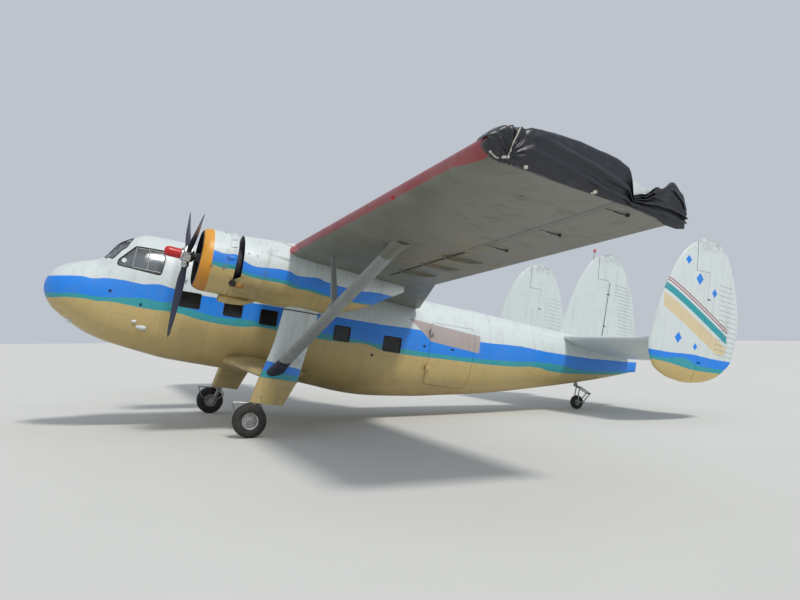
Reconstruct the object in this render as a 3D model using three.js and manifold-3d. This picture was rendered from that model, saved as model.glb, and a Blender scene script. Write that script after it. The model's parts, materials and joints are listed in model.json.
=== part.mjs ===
// A twin-engined, high-winged light transport aircraft with three fins, parked on its tailwheel gear.
// Millimetres. The airframe is drawn level: +X to port, +Y aft from the nose tip, +Z up from the
// nose's centre. At the end it is pitched to its parked attitude and set down on its three wheels.
import * as THREE from 'three';
import { mergeVertices } from 'three/addons/utils/BufferGeometryUtils.js';
import Module from 'manifold-3d';

const wasm = await Module();
wasm.setup();

// Clearances
const SEAT = 0.4;            // between pieces that touch
const RUNNING = 8;           // round a moving piece
const FAR = 20000;           // reach of a cutting block
const TIE = 1e-4;            // diagonals closer than this count as equal
const WELD = 0.01;           // corners closer than this are one

// Fuselage
const WALL = 40;
const GLASS = 8;
const RING_SIDES = 24;
const ROLL_SIDES = 16;
const HULL_REACH = 2000;       // half the size of the block that cuts the hull to length
const HULL_LEAST = 10;         // a hull section is left out once it is narrower than this
const NOSE_END = 900;
const CAB_END = 2200;
const CABIN_END = 9350;
const TAIL_END = 13690;
const FLOOR_TOP = -720;
const FLOOR_THICKNESS = 30;
// station aft of the nose, top, bottom, half width, height of the widest point, squareness
const FUSELAGE = [
  [0, 60, -85, 75, -10, 2.0],
  [60, 215, -225, 220, -10, 2.0],
  [220, 405, -425, 420, -15, 2.05],
  [510, 535, -615, 605, -40, 2.1],
  [900, 660, -815, 735, -90, 2.2],
  [975, 690, -840, 752, -93, 2.25],
  [1260, 1050, -925, 805, -100, 2.4],
  [1440, 1165, -955, 822, -95, 2.45],
  [1740, 1298, -1005, 845, -85, 2.5],
  [2000, 1302, -1045, 855, -80, 2.5],
  [2500, 1292, -1105, 865, -80, 2.5],
  [4200, 1232, -1160, 870, -80, 2.5],
  [5200, 1140, -1215, 870, -80, 2.5],
  [6500, 1055, -1315, 868, -80, 2.45],
  [7800, 985, -1205, 850, -65, 2.35],
  [8750, 957, -1060, 810, -45, 2.3],
  [9350, 938, -965, 775, -20, 2.25],
  [10000, 902, -840, 715, 25, 2.2],
  [11300, 832, -545, 530, 130, 2.1],
  [12200, 790, -325, 370, 220, 2.0],
  [13100, 690, -75, 205, 310, 2.0],
  [13690, 520, 110, 60, 320, 2.0],
];
// outlines of the port windscreen from above [side, station] and of the port side window [station, height]
const SCREEN = [[38, 990], [330, 1025], [585, 1150], [520, 1370], [330, 1465], [38, 1500]];
const SIDE_WINDOW = [[1245, 560], [1262, 670], [1545, 985], [2085, 985], [2110, 770], [2070, 485]];
const BULKHEAD = { front: 2210, rear: 2235, doorHalf: 290, doorTop: 880 };
const PANEL = { front: 1130, rear: 1200, bottom: -50, top: 590 };
const CREW_SEAT = { side: 370, half: 220, front: 1640, rear: 2110, pan: -230, top: 420, post: 130 };
// centre aft of the nose, centre height, width, height of each cabin window
const CABIN_WINDOWS = [
  [2690, 100, 400, 300],
  [3545, 60, 370, 300],
  [4275, 0, 350, 300],
  [5050, -40, 350, 300],
  [5855, -85, 350, 310],
  [6995, -145, 400, 320],
];
const WINDOW_CORNER = 70;
const DOOR = { front: 7880, rear: 8960, sill: -880, head: 470, corner: 90, edge: 6 };
// the door's hinge pins stand outside the skin, ahead of the door
const DOOR_HINGE = { side: 885, station: 7846, heights: [-520, 250], pin: 8, knuckle: 20, tall: 64, lug: 32 };

// Wing: the leading edge is straight in plan
const WING = { edge: 4084, rootHeight: 1083, dihedral: 2.24, incidence: 3.79, rootChord: 2870, taper: 19 };
const AIRFOIL = { camber: 0.035, peak: 0.4, thickness: 0.15, steps: 9, tailSteps: 6 };
const CENTRE_HALF = 3050;
const PORT_END = 10560;
// the port wing is cut off at a slant, shorter at its trailing edge
const PORT_END_TRAIL = 10150;
const STARBOARD_TIP = 11660;
const ROOT_FILLET = { half: 860, trailing: [7500, 722] };
const FLAP = { inner: 3110, outer: 6320, share: 0.655 };
// a groove across the wing's underside marks the flap's rear row
const FLAP_GROOVE = [5900, 5960];
const AILERON = { inner: 6350, outer: 10080, hinge: 0.70, nose: 127, arms: [7030, 8460, 9880] };
const COVER = { hemLead: 10240, hemTrail: 10112, rear: 6780, skin: 34 };

// Engines, on a thrust line tilted up at the front
const ENGINE = { side: 2400, hub: 2342, height: 794, tilt: 3, cylinders: 9 };
const COWL = { front: 2520, rear: 3180, outer: 565, skin: 30, sides: 26 };
const PROPELLER = { radius: 1500, blades: 3, phase: -8.6 };
// station, top, bottom, half width of the nacelle
const NACELLE = [
  [3310, 1325, 205, 525],
  [3480, 1332, 180, 535],
  [4000, 1345, 165, 525],
  [4340, 1355, 160, 500],
  [4900, 1280, 165, 440],
  [5270, 1205, 230, 385],
  [5670, 1110, 360, 300],
  [5900, 1060, 470, 240],
  [6150, 1015, 625, 160],
  [6500, 960, 820, 50],
];
// station, top, bottom, half width of the oil cooler's duct under each nacelle
const DUCT = [
  [2990, 175, 95, 60],
  [3150, 215, 60, 105],
  [3420, 215, 70, 110],
  [3640, 190, 150, 60],
];

// Main gear, port side
const LEG_SIDE = 2430;
// height, leading edge, trailing edge, thickness of the leg's fairing
const LEG = [
  [330, 4235, 4900, 250],
  [-500, 4130, 4770, 240],
  [-1190, 3955, 4665, 235],
];
const SHOE = [
  [-1170, 3950, 4668, 270],
  [-1640, 3840, 4465, 250],
];
// distance from the centreline, leading edge, trailing edge, height, thickness of the stub wing
const STUB = [
  [300, 3480, 5350, -960, 300],
  [870, 3610, 5210, -985, 250],
  [1400, 3760, 4960, -1060, 190],
  [2420, 4010, 4680, -1165, 130],
];
const STRUT = { foot: [2540, 4178, -1045], head: [5940, 4984, 1143], chord: 240, thickness: 90 };
const JURY = { head: [3800, 4606, 1115], share: 0.565, lead: 70, chord: 120, thickness: 45 };
const MAIN_WHEEL = { side: 2520, station: 3880, height: -1970, radius: 305, width: 220, rim: 150, sides: 22 };
const AXLE = 28;
const OLEO = { side: 2345, radius: 48 };

// Tail gear: a short post, and a castoring fork whose arms and knee links carry the wheel
const TAIL_WHEEL = { station: 12290, height: -800, radius: 165, width: 110, rim: 70, sides: 16 };
const CASTOR = { station: 12200, top: -250, bottom: -385, radius: 48, crown: 35 };
const FORK = { side: 78, arm: 15, yoke: [12285, -430], knee: [12590, -550], bend: [12430, -770], axle: 12 };

// Tail surfaces
const TAILPLANE = {
  half: 3470, root: [11500, 690], tip: [11600, 690], trailing: [13570, 440], thickness: 0.11,
};
const ELEVATOR = { hinge: 12750, nose: 88, inner: 310, outerFront: 3330, outerRear: 2950, arms: [900, 2500] };
const BEACON = { station: 12290, foot: 2400, mast: 12, lamp: 34, low: 540, high: 600 };
// height, leading edge, trailing edge
const OUTER_FIN = [
  [-92, 12420, 12640],
  [-30, 12060, 13000],
  [180, 11690, 13430],
  [600, 11545, 13740],
  [1200, 11630, 13790],
  [1900, 11835, 13655],
  [2550, 12130, 13420],
  [2880, 12470, 13160],
  [3000, 12720, 12930],
];
const CENTRE_FIN = [
  [500, 11500, 13690],
  [900, 11560, 13750],
  [1700, 11770, 13620],
  [2350, 12010, 13380],
  [2800, 12330, 13100],
  [2985, 12700, 12850],
];
const FIN_THICKNESS = 0.085;
const RUDDER_NOSE = 80;
// hinge line low and high points, horn's front and foot, rudder's foot, hinge arms' heights
const OUTER_RUDDER = {
  low: [12780, 0], high: [12960, 2260], horn: 12525, hornFoot: 2275, foot: -200, arms: [350, 1700],
};
const CENTRE_RUDDER = {
  low: [12760, 900], high: [12840, 2280], horn: 12455, hornFoot: 2300, foot: 875, arms: [1150, 1950],
};

// Colours, roughness and metalness
const PAINT = {
  white: [0xdde2e4, 0.45, 0.0],
  sand: [0xb9a566, 0.5, 0.0],
  yellow: [0xe0990f, 0.45, 0.0],
  red: [0xa8161c, 0.45, 0.0],
  grey: [0x8d938f, 0.5, 0.1],
  glass: [0x23292d, 0.15, 0.0],
  dark: [0x1b1f2b, 0.45, 0.2],
  metal: [0x9a9c9e, 0.35, 0.9],
  rubber: [0x191919, 0.85, 0.0],
  cloth: [0x15151a, 0.7, 0.0],
};

const rad = THREE.MathUtils.degToRad;
const parked = parkedAngle();
const vec = (x, y, z) => new THREE.Vector3(x, y, z);
const aircraft = new THREE.Group();
aircraft.name = 'aircraft';
const airframe = new THREE.Group();
airframe.name = 'airframe';
aircraft.add(airframe);

// Solids and booleans
function solid(geometry) {
  const bare = geometry.clone();
  bare.deleteAttribute('normal');
  bare.deleteAttribute('uv');
  const merged = mergeVertices(bare, WELD);
  const vertProperties = new Float32Array(merged.attributes.position.array);
  const corners = merged.index.array;
  const kept = [];
  for (let i = 0; i < corners.length; i += 3) {
    const [a, b, c] = corners.slice(i, i + 3);
    if (a !== b && b !== c && c !== a) {
      kept.push(a, b, c);
    }
  }
  return new wasm.Manifold(new wasm.Mesh({ numProp: 3, vertProperties, triVerts: new Uint32Array(kept) }));
}

function geometryOf(body) {
  const mesh = body.getMesh();
  const geometry = new THREE.BufferGeometry();
  geometry.setAttribute('position', new THREE.BufferAttribute(new Float32Array(mesh.vertProperties), 3));
  geometry.setIndex(new THREE.BufferAttribute(new Uint32Array(mesh.triVerts), 1));
  geometry.computeVertexNormals();
  return geometry;
}

const joinAll = (first, ...rest) => rest.reduce((whole, next) => whole.add(next), first);
const cutAll = (first, ...rest) => rest.reduce((whole, next) => whole.subtract(next), first);

function mirrored(body) {
  const geometry = geometryOf(body);
  geometry.scale(-1, 1, 1);
  const index = geometry.index.array;
  for (let i = 0; i < index.length; i += 3) {
    [index[i + 1], index[i + 2]] = [index[i + 2], index[i + 1]];
  }
  return solid(geometry);
}

function add(name, body, paint) {
  const [color, roughness, metalness] = PAINT[paint];
  const material = new THREE.MeshStandardMaterial({ color, roughness, metalness });
  const mesh = new THREE.Mesh(geometryOf(solid(geometryOf(body))), material);
  mesh.name = name;
  airframe.add(mesh);
  return mesh;
}

function block(x0, x1, y0, y1, z0, z1) {
  const geometry = new THREE.BoxGeometry(x1 - x0, y1 - y0, z1 - z0);
  geometry.translate((x0 + x1) / 2, (y0 + y1) / 2, (z0 + z1) / 2);
  return solid(geometry);
}

function rod(from, to, radius, sides = 14) {
  const along = to.clone().sub(from);
  const geometry = new THREE.CylinderGeometry(radius, radius, along.length(), sides);
  const lean = new THREE.Quaternion().setFromUnitVectors(vec(0, 1, 0), along.clone().normalize());
  geometry.applyQuaternion(lean);
  const middle = from.clone().add(to).multiplyScalar(0.5);
  geometry.translate(middle.x, middle.y, middle.z);
  return solid(geometry);
}

// A closed body through rings of points, closed by a fan at each end. Each four-sided field is split
// along its shorter diagonal, so a symmetric body keeps its symmetry.
function loft(rings) {
  const sides = rings[0].length;
  const points = rings.flat();
  const faces = [];
  for (let r = 0; r < rings.length - 1; r += 1) {
    for (let i = 0; i < sides; i += 1) {
      const a = r * sides + i;
      const b = r * sides + ((i + 1) % sides);
      const [c, d] = [b + sides, a + sides];
      const straight = points[a].distanceTo(points[c]) <= points[b].distanceTo(points[d]) + TIE;
      faces.push(...(straight ? [a, b, c, a, c, d] : [a, b, d, b, c, d]));
    }
  }
  const ends = [[rings[0], 0, false], [rings.at(-1), (rings.length - 1) * sides, true]];
  for (const [ring, first, outward] of ends) {
    const middle = ring.reduce((sum, p) => sum.add(p), vec(0, 0, 0)).multiplyScalar(1 / sides);
    const centre = points.push(middle) - 1;
    for (let i = 0; i < sides; i += 1) {
      const a = first + i;
      const b = first + ((i + 1) % sides);
      faces.push(...(outward ? [a, b, centre] : [b, a, centre]));
    }
  }
  let volume = 0;
  for (let i = 0; i < faces.length; i += 3) {
    const [a, b, c] = [points[faces[i]], points[faces[i + 1]], points[faces[i + 2]]];
    volume += a.dot(b.clone().cross(c));
  }
  const geometry = new THREE.BufferGeometry().setFromPoints(points);
  geometry.setIndex(volume > 0 ? faces : faces.toReversed());
  return solid(geometry);
}

// A flat outline pushed along X, its points [y, z], or along Z, its points [x, y].
function slab(axis, outline, from, to) {
  const shape = new THREE.Shape(outline.map(([u, v]) => new THREE.Vector2(u, v)));
  const geometry = new THREE.ExtrudeGeometry(shape, { depth: to - from, bevelEnabled: false });
  geometry.translate(0, 0, from);
  if (axis === 'x') {
    geometry.applyMatrix4(new THREE.Matrix4().makeBasis(vec(0, 1, 0), vec(0, 0, 1), vec(1, 0, 0)));
  }
  return solid(geometry);
}

function roundedRectangle(middleU, middleV, width, height, corner) {
  const points = [];
  const steps = 2;
  for (const [su, sv, start] of [[1, 1, 0], [-1, 1, 90], [-1, -1, 180], [1, -1, 270]]) {
    for (let i = 0; i <= steps; i += 1) {
      const angle = rad(start + (90 * i) / steps);
      const u = middleU + su * (width / 2 - corner) + corner * Math.cos(angle);
      const v = middleV + sv * (height / 2 - corner) + corner * Math.sin(angle);
      points.push([u, v]);
    }
  }
  return points;
}

// Turned bodies: profile points are [distance along the axis, radius].
function turned(profile, sides, origin, direction, turn = 0) {
  const points = profile.map(([along, radius]) => new THREE.Vector2(radius, along));
  const geometry = new THREE.LatheGeometry(points, sides);
  geometry.rotateY(turn);
  const lean = new THREE.Quaternion().setFromUnitVectors(vec(0, 1, 0), direction);
  geometry.applyQuaternion(lean);
  geometry.translate(origin.x, origin.y, origin.z);
  const body = solid(geometry);
  if (body.volume() > 0) {
    return body;
  }
  geometry.setIndex(Array.from(geometry.index.array).toReversed());
  return solid(geometry);
}

// Fuselage: each section is a superellipse in its upper and lower half, its skin moved in by inset.
function fuselageRing([station, top, bottom, half, middle, square], inset) {
  const ring = [];
  for (let i = 0; i < RING_SIDES; i += 1) {
    const angle = (2 * Math.PI * (i + 0.5)) / RING_SIDES;
    const c = Math.cos(angle);
    const s = Math.sin(angle);
    const reach = s > 0 ? top - middle - inset : middle - bottom - inset;
    const x = (half - inset) * Math.sign(c) * Math.abs(c) ** (2 / square);
    const z = middle + reach * Math.sign(s) * Math.abs(s) ** (2 / square);
    ring.push(vec(x, station, z));
  }
  return ring;
}

function hull(inset) {
  const rows = FUSELAGE.filter(([, , , half]) => half > inset + HULL_LEAST);
  return loft(rows.map((row) => fuselageRing(row, inset)));
}

function fuselageBody(from, to, inset) {
  return hull(inset).intersect(block(-HULL_REACH, HULL_REACH, from, to, -HULL_REACH, HULL_REACH));
}

function fuselageWall(from, to, outer, inner) {
  return fuselageBody(from, to, outer).subtract(hull(inner));
}

// Wing sections
const wingHeight = (x) => WING.rootHeight + Math.tan(rad(WING.dihedral)) * Math.abs(x);
const wingChord = (x) => WING.rootChord - (WING.taper * Math.abs(x)) / 1000;

function wingLine(x) {
  const lead = [WING.edge, wingHeight(x)];
  const chord = wingChord(x);
  const lean = rad(WING.incidence);
  const trail = [lead[0] + chord * Math.cos(lean), lead[1] - chord * Math.sin(lean)];
  const { half, trailing } = ROOT_FILLET;
  const out = Math.abs(x);
  if (out < CENTRE_HALF) {
    const plain = wingLine(CENTRE_HALF).trail;
    const share = Math.min(Math.max((out - half) / (CENTRE_HALF - half), 0), 1);
    return { lead, trail: trailing.map((v, i) => v + (plain[i] - v) * share) };
  }
  return { lead, trail };
}

// A section from a leading to a trailing point [y, z]; grow pushes its skin out all round.
function section(x, lead, trail, { camber, thickness, grow = 0, steps = AIRFOIL.steps }) {
  const chord = Math.hypot(trail[0] - lead[0], trail[1] - lead[1]);
  const along = [(trail[0] - lead[0]) / chord, (trail[1] - lead[1]) / chord];
  const half = (t) => 5 * thickness * chord
    * (0.2969 * Math.sqrt(t) - 0.126 * t - 0.3516 * t ** 2 + 0.2843 * t ** 3 - 0.1015 * t ** 4) + grow;
  const rise = (t) => {
    const p = AIRFOIL.peak;
    const front = (camber / p ** 2) * (2 * p * t - t * t);
    const back = (camber / (1 - p) ** 2) * (1 - 2 * p + 2 * p * t - t * t);
    return chord * (t < p ? front : back);
  };
  const at = (t, side) => {
    const u = t * chord + grow * (2 * t - 1);
    const w = rise(t) + side * half(t);
    return vec(x, lead[0] + along[0] * u - along[1] * w, lead[1] + along[1] * u + along[0] * w);
  };
  const ring = [];
  for (let i = 0; i < steps; i += 1) {
    ring.push(at((1 + Math.cos((Math.PI * i) / steps)) / 2, 1));
  }
  ring.push(at(0, 0));
  for (let i = 1; i <= steps; i += 1) {
    ring.push(at((1 - Math.cos((Math.PI * i) / steps)) / 2, -1));
  }
  return ring;
}

function wingRing(x, grow = 0) {
  const { lead, trail } = wingLine(x);
  const plainChord = wingChord(x);
  const chord = Math.hypot(trail[0] - lead[0], trail[1] - lead[1]);
  const thickness = (AIRFOIL.thickness * plainChord) / chord;
  return section(x, lead, trail, { camber: AIRFOIL.camber, thickness, grow });
}

const wingBody = (stations, grow = 0) => loft(stations.map((x) => wingRing(x, grow)));

// A point in a wing section at a share of the chord, on the middle line.
function wingPoint(x, share) {
  const { lead, trail } = wingLine(x);
  const p = AIRFOIL.peak;
  const rise = (AIRFOIL.camber / (1 - p) ** 2) * (1 - 2 * p + 2 * p * share - share ** 2) * wingChord(x);
  return vec(x, lead[0] + (trail[0] - lead[0]) * share, lead[1] + (trail[1] - lead[1]) * share + rise);
}

// Hinged surfaces. The moving piece has a round nose about its hinge line, in a cove, and hangs on
// arms with a round eye; a cross pin in the moving piece passes through each eye.
const PIN = 9;
const EYE = 24;
const ARM = 16;
const PIN_SIDES = 8;
const PIN_PLAY = 0.5;

// An arm's outline: a half round about its eye, then straight ahead to its root.
function armShape(reach) {
  const shape = new THREE.Shape();
  shape.moveTo(-reach, -EYE);
  for (let i = 0; i <= 6; i += 1) {
    const angle = rad(-90 + 30 * i);
    shape.lineTo(EYE * Math.cos(angle), EYE * Math.sin(angle));
  }
  shape.lineTo(-reach, EYE);
  const hole = new THREE.Path();
  const bore = (PIN + PIN_PLAY) / Math.cos(Math.PI / PIN_SIDES);
  for (let i = 0; i <= PIN_SIDES; i += 1) {
    const angle = (-2 * Math.PI * ((i % PIN_SIDES) + 0.5)) / PIN_SIDES;
    const [u, v] = [bore * Math.cos(angle), bore * Math.sin(angle)];
    hole[i === 0 ? 'moveTo' : 'lineTo'](u, v);
  }
  shape.holes.push(hole);
  return shape;
}

function hinged(whole, low, high, nose, behind, armShares) {
  const direction = high.clone().sub(low).normalize();
  const aft = vec(0, 1, 0).addScaledVector(direction, -direction.y).normalize();
  const up = direction.clone().cross(aft);
  const frame = new THREE.Matrix4().makeBasis(aft, up, aft.clone().cross(up));
  const reach = direction.clone().multiplyScalar(RUNNING);
  const roll = rod(low, high, nose, ROLL_SIDES);
  const cove = rod(low.clone().sub(reach), high.clone().add(reach), nose + RUNNING + 2, ROLL_SIDES);
  let moving = whole.intersect(behind(0).add(roll));
  let fixed = cutAll(whole, behind(RUNNING), cove);
  for (const share of armShares) {
    const centre = low.clone().lerp(high, share);
    const place = (geometry) => {
      geometry.applyMatrix4(frame);
      geometry.translate(centre.x, centre.y, centre.z);
      return solid(geometry);
    };
    const slotFront = nose + 40;
    const slotRear = EYE + RUNNING + 4;
    const slot = new THREE.BoxGeometry(slotFront + slotRear, 4 * nose, ARM + 2 * RUNNING);
    const pin = new THREE.CylinderGeometry(PIN, PIN, ARM + 2 * RUNNING + 24, PIN_SIDES).rotateX(Math.PI / 2);
    const arm = new THREE.ExtrudeGeometry(armShape(nose + RUNNING + 26), { depth: ARM, bevelEnabled: false });
    moving = moving.subtract(place(slot.translate((slotRear - slotFront) / 2, 0, 0))).add(place(pin));
    fixed = fixed.add(place(arm.translate(0, 0, -ARM / 2)));
  }
  return { moving, fixed };
}

// Fuselage shells
const wingCutter = wingBody([-CENTRE_HALF, -ROOT_FILLET.half, 0, ROOT_FILLET.half, CENTRE_HALF], SEAT);
const noseBody = fuselageBody(0, NOSE_END - SEAT, 0);

function shrunk(outline, by) {
  const middle = outline.reduce(([a, b], [u, v]) => [a + u / outline.length, b + v / outline.length], [0, 0]);
  return outline.map(([u, v]) => {
    const length = Math.hypot(u - middle[0], v - middle[1]);
    const share = (length - by) / length;
    return [middle[0] + (u - middle[0]) * share, middle[1] + (v - middle[1]) * share];
  });
}

function buildFuselage() {
  const shaft = (outline) => slab('z', outline, 600, 1600);
  const port = (outline) => slab('x', outline, 300, 1500);
  const panes = [shaft(SCREEN), port(SIDE_WINDOW)];
  const cab = cutAll(fuselageWall(NOSE_END, CAB_END - SEAT, 0, WALL), ...panes, ...panes.map(mirrored));
  const glassWall = fuselageWall(NOSE_END + 20, CAB_END - 20, 12, 12 + GLASS);
  const screenGlass = glassWall.intersect(shaft(shrunk(SCREEN, 1)));
  const sideGlass = glassWall.intersect(port(shrunk(SIDE_WINDOW, 1)));
  add('nose', noseBody, 'white');
  add('cockpit_shell', cab, 'white');
  add('windscreen_port', screenGlass, 'glass');
  add('windscreen_starboard', mirrored(screenGlass), 'glass');
  add('cockpit_window_port', sideGlass, 'glass');
  add('cockpit_window_starboard', mirrored(sideGlass), 'glass');

  const windows = CABIN_WINDOWS.map(([y, z, width, height]) => (
    slab('x', roundedRectangle(y, z, width, height, WINDOW_CORNER), -1500, 1500)));
  const doorOutline = (edge) => roundedRectangle(
    (DOOR.front + DOOR.rear) / 2,
    (DOOR.sill + DOOR.head) / 2,
    DOOR.rear - DOOR.front + 2 * edge,
    DOOR.head - DOOR.sill + 2 * edge,
    DOOR.corner + edge,
  );
  const wall = fuselageWall(CAB_END, CABIN_END - SEAT, 0, WALL);
  const cabin = cutAll(wall, wingCutter, ...windows, port(doorOutline(DOOR.edge)));

  // Door hinge: pins on the frame, knuckles on the door
  const { side, station, heights, pin, knuckle, tall, lug } = DOOR_HINGE;
  const turret = (z, height, radius) => (
    rod(vec(side, station, z - height / 2), vec(side, station, z + height / 2), radius, 16));
  let frameSide = cabin;
  let door = wall.intersect(port(doorOutline(0)));
  const inside = fuselageBody(CAB_END - 100, CABIN_END + 100, 15);
  for (const z of heights) {
    const skin = 760;
    for (const end of [-1, 1]) {
      const near = z + end * (tall / 2 + SEAT);
      const far = z + end * (tall / 2 + lug);
      const [from, to] = end < 0 ? [far, near] : [near, far];
      const bracket = block(skin, side, station - 14, station + 14, from, to).subtract(inside);
      frameSide = joinAll(frameSide, bracket, turret((from + to) / 2, to - from, knuckle));
    }
    frameSide = frameSide.add(turret(z, tall + 6, pin));
    const bar = block(skin, side + 14, station, DOOR.front + 60, z - tall / 2, z + tall / 2);
    const strap = bar.subtract(inside);
    const gap = block(skin - 100, side - 22, station - 40, DOOR.front, z - 40, z + 40);
    const eye = strap.subtract(gap).add(turret(z, tall, knuckle));
    door = door.add(eye).subtract(turret(z, tall + 16, pin + 0.9));
  }
  add('cabin_shell', frameSide, 'white');
  const [hingeFoot, hingeHead] = heights.map((z) => vec(side, station, z));
  pivot('cabin_door', [add('cabin_door', door, 'white')], hingeFoot, hingeHead);

  // One inner pane along each side behind all its windows
  const strip = block(200, 1200, 2440, 7260, -360, 300);
  const lining = fuselageWall(CAB_END + 100, CABIN_END - 100, WALL + SEAT, WALL + SEAT + GLASS);
  const glazing = lining.intersect(strip);
  add('cabin_glazing_port', glazing, 'glass');
  add('cabin_glazing_starboard', mirrored(glazing), 'glass');

  // Floor, bulkhead, instrument panel and the two crew seats
  const inner = fuselageBody(NOSE_END, CABIN_END, WALL + SEAT);
  const underside = FLOOR_TOP - FLOOR_THICKNESS;
  const planks = block(-1000, 1000, NOSE_END + SEAT, CABIN_END - 2 * SEAT, underside, FLOOR_TOP);
  const partition = inner.intersect(block(-1000, 1000, BULKHEAD.front, BULKHEAD.rear, FLOOR_TOP - 1, 1400));
  const doorway = block(-BULKHEAD.doorHalf, BULKHEAD.doorHalf, 2000, 2400, FLOOR_TOP + 20, BULKHEAD.doorTop);
  add('floor', inner.intersect(planks).add(partition.subtract(doorway)), 'grey');
  const panel = inner.intersect(block(-1000, 1000, PANEL.front, PANEL.rear, PANEL.bottom, PANEL.top));
  add('instrument_panel', panel, 'dark');
  for (const [name, x] of [['crew_seat_port', CREW_SEAT.side], ['crew_seat_starboard', -CREW_SEAT.side]]) {
    const { half, front, rear, pan, top, post } = CREW_SEAT;
    const cushion = block(x - half, x + half, front, rear - 40, pan - 100, pan);
    const back = block(x - half, x + half, rear - 90, rear, pan - 30, top);
    const base = block(x - post, x + post, front + 120, front + 320, FLOOR_TOP + SEAT, pan - 70);
    add(name, joinAll(cushion, back, base), 'dark');
  }
  add('tail_cone', fuselageBody(CABIN_END, TAIL_END, 0), 'white');
}

// Wing, flaps and ailerons
function spanBlock(x0, x1, shareAhead, grow = 0) {
  const front = (x) => {
    const { lead, trail } = wingLine(x);
    return lead[0] + (trail[0] - lead[0]) * shareAhead - grow;
  };
  const outline = [[x0 - grow, front(x0)], [x1 + grow, front(x1)], [x1 + grow, 9000], [x0 - grow, 9000]];
  return slab('z', outline, 0, 3000);
}

// Everything outboard of a line from the leading to the trailing edge
function beyond(atLead, atTrail) {
  const { lead, trail } = wingLine(PORT_END);
  const slope = (atTrail - atLead) / (trail[0] - lead[0]);
  const edge = (y) => atLead + slope * (y - lead[0]);
  return slab('z', [[edge(3000), 3000], [13000, 3000], [13000, 8000], [edge(8000), 8000]], 0, 3000);
}

function buildWing() {
  const centre = wingBody([-CENTRE_HALF, -ROOT_FILLET.half, 0, ROOT_FILLET.half, CENTRE_HALF]);
  add('wing_centre', centre, 'white');
  const whole = wingBody([CENTRE_HALF + SEAT, PORT_END]);
  const flapZone = (grow) => spanBlock(FLAP.inner, FLAP.outer, FLAP.share, grow);
  const groove = block(FLAP.inner, FLAP.outer, FLAP_GROOVE[0], FLAP_GROOVE[1], 0, 3000);
  const flap = cutAll(whole.intersect(flapZone(0)), groove.intersect(wingBelow()));
  const rest = whole.subtract(flapZone(SEAT));
  const low = wingPoint(AILERON.inner, AILERON.hinge);
  const high = wingPoint(AILERON.outer, AILERON.hinge);
  const shares = AILERON.arms.map((x) => (x - AILERON.inner) / (AILERON.outer - AILERON.inner));
  const behind = (grow) => spanBlock(AILERON.inner, AILERON.outer, AILERON.hinge, grow);
  const split = hinged(rest, low, high, AILERON.nose, behind, shares);
  const cutShort = split.fixed.subtract(beyond(PORT_END, PORT_END_TRAIL));
  for (const [side, place] of [['port', (b) => b], ['starboard', mirrored]]) {
    add(`wing_outer_${side}`, side === 'port' ? cutShort : mirrored(split.fixed), 'white');
    add(`flap_${side}`, place(flap), 'white');
    pivot(`aileron_${side}`, [add(`aileron_${side}`, place(split.moving), 'white')], low, high, side);
  }
  const share = [0, 0.25, 0.5, 0.7, 0.85, 0.95, 1];
  const rings = share.map((s) => {
    const x = -(PORT_END + SEAT + (STARBOARD_TIP - PORT_END - SEAT) * s);
    const { lead, trail } = wingLine(x);
    const keep = Math.max(Math.sqrt(1 - s ** 2.4), 0.12);
    const pull = 1 - keep;
    const at = (f) => lead.map((v, i) => v + (trail[i] - v) * f);
    const thickness = AIRFOIL.thickness * Math.max(keep, 0.35);
    return section(x, at(0.5 * pull), at(1 - 0.42 * pull), { camber: AIRFOIL.camber, thickness });
  });
  add('wing_tip_starboard', loft(rings), 'white');
}

// Everything below the wing's middle line, for the groove ahead of the flap.
function wingBelow() {
  const ring = (x) => {
    const height = wingPoint(x, FLAP.share).z;
    return [vec(x, 5000, 0), vec(x, 7500, 0), vec(x, 7500, height), vec(x, 5000, height)];
  };
  return loft([ring(CENTRE_HALF), ring(FLAP.outer + 100)]);
}

// Pivots: a group at each joint, its local X along the joint's axis, holding what moves.
function pivot(name, meshes, low, high, side = 'port') {
  const flip = side === 'starboard' ? vec(-1, 1, 1) : vec(1, 1, 1);
  const from = low.clone().multiply(flip);
  const to = high.clone().multiply(flip);
  const group = new THREE.Group();
  group.name = `joint_${name}`;
  group.position.copy(from);
  group.quaternion.setFromUnitVectors(vec(1, 0, 0), to.sub(from).normalize());
  airframe.add(group);
  airframe.updateMatrixWorld(true);
  for (const mesh of meshes) {
    group.attach(mesh);
  }
  return group;
}

// Engines
const thrust = vec(0, Math.cos(rad(ENGINE.tilt)), -Math.sin(rad(ENGINE.tilt)));
const hubCentre = vec(ENGINE.side, ENGINE.hub, ENGINE.height);
const onThrust = (along) => hubCentre.clone().add(thrust.clone().multiplyScalar(along));

// A body of oval sections along the engine, its skin pushed out by grow.
function ovalBody(rows, sides, grow = 0) {
  return loft(rows.map(([y, top, bottom, half]) => {
    const ring = [];
    for (let i = 0; i < sides; i += 1) {
      const angle = (2 * Math.PI * (i + 0.5)) / sides;
      const x = ENGINE.side + (half + grow) * Math.cos(angle);
      const z = (top + bottom) / 2 + ((top - bottom) / 2 + grow) * Math.sin(angle);
      ring.push(vec(x, y, z));
    }
    return ring;
  }));
}

const nacelleBody = (grow) => ovalBody(NACELLE, 20, grow);

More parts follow.
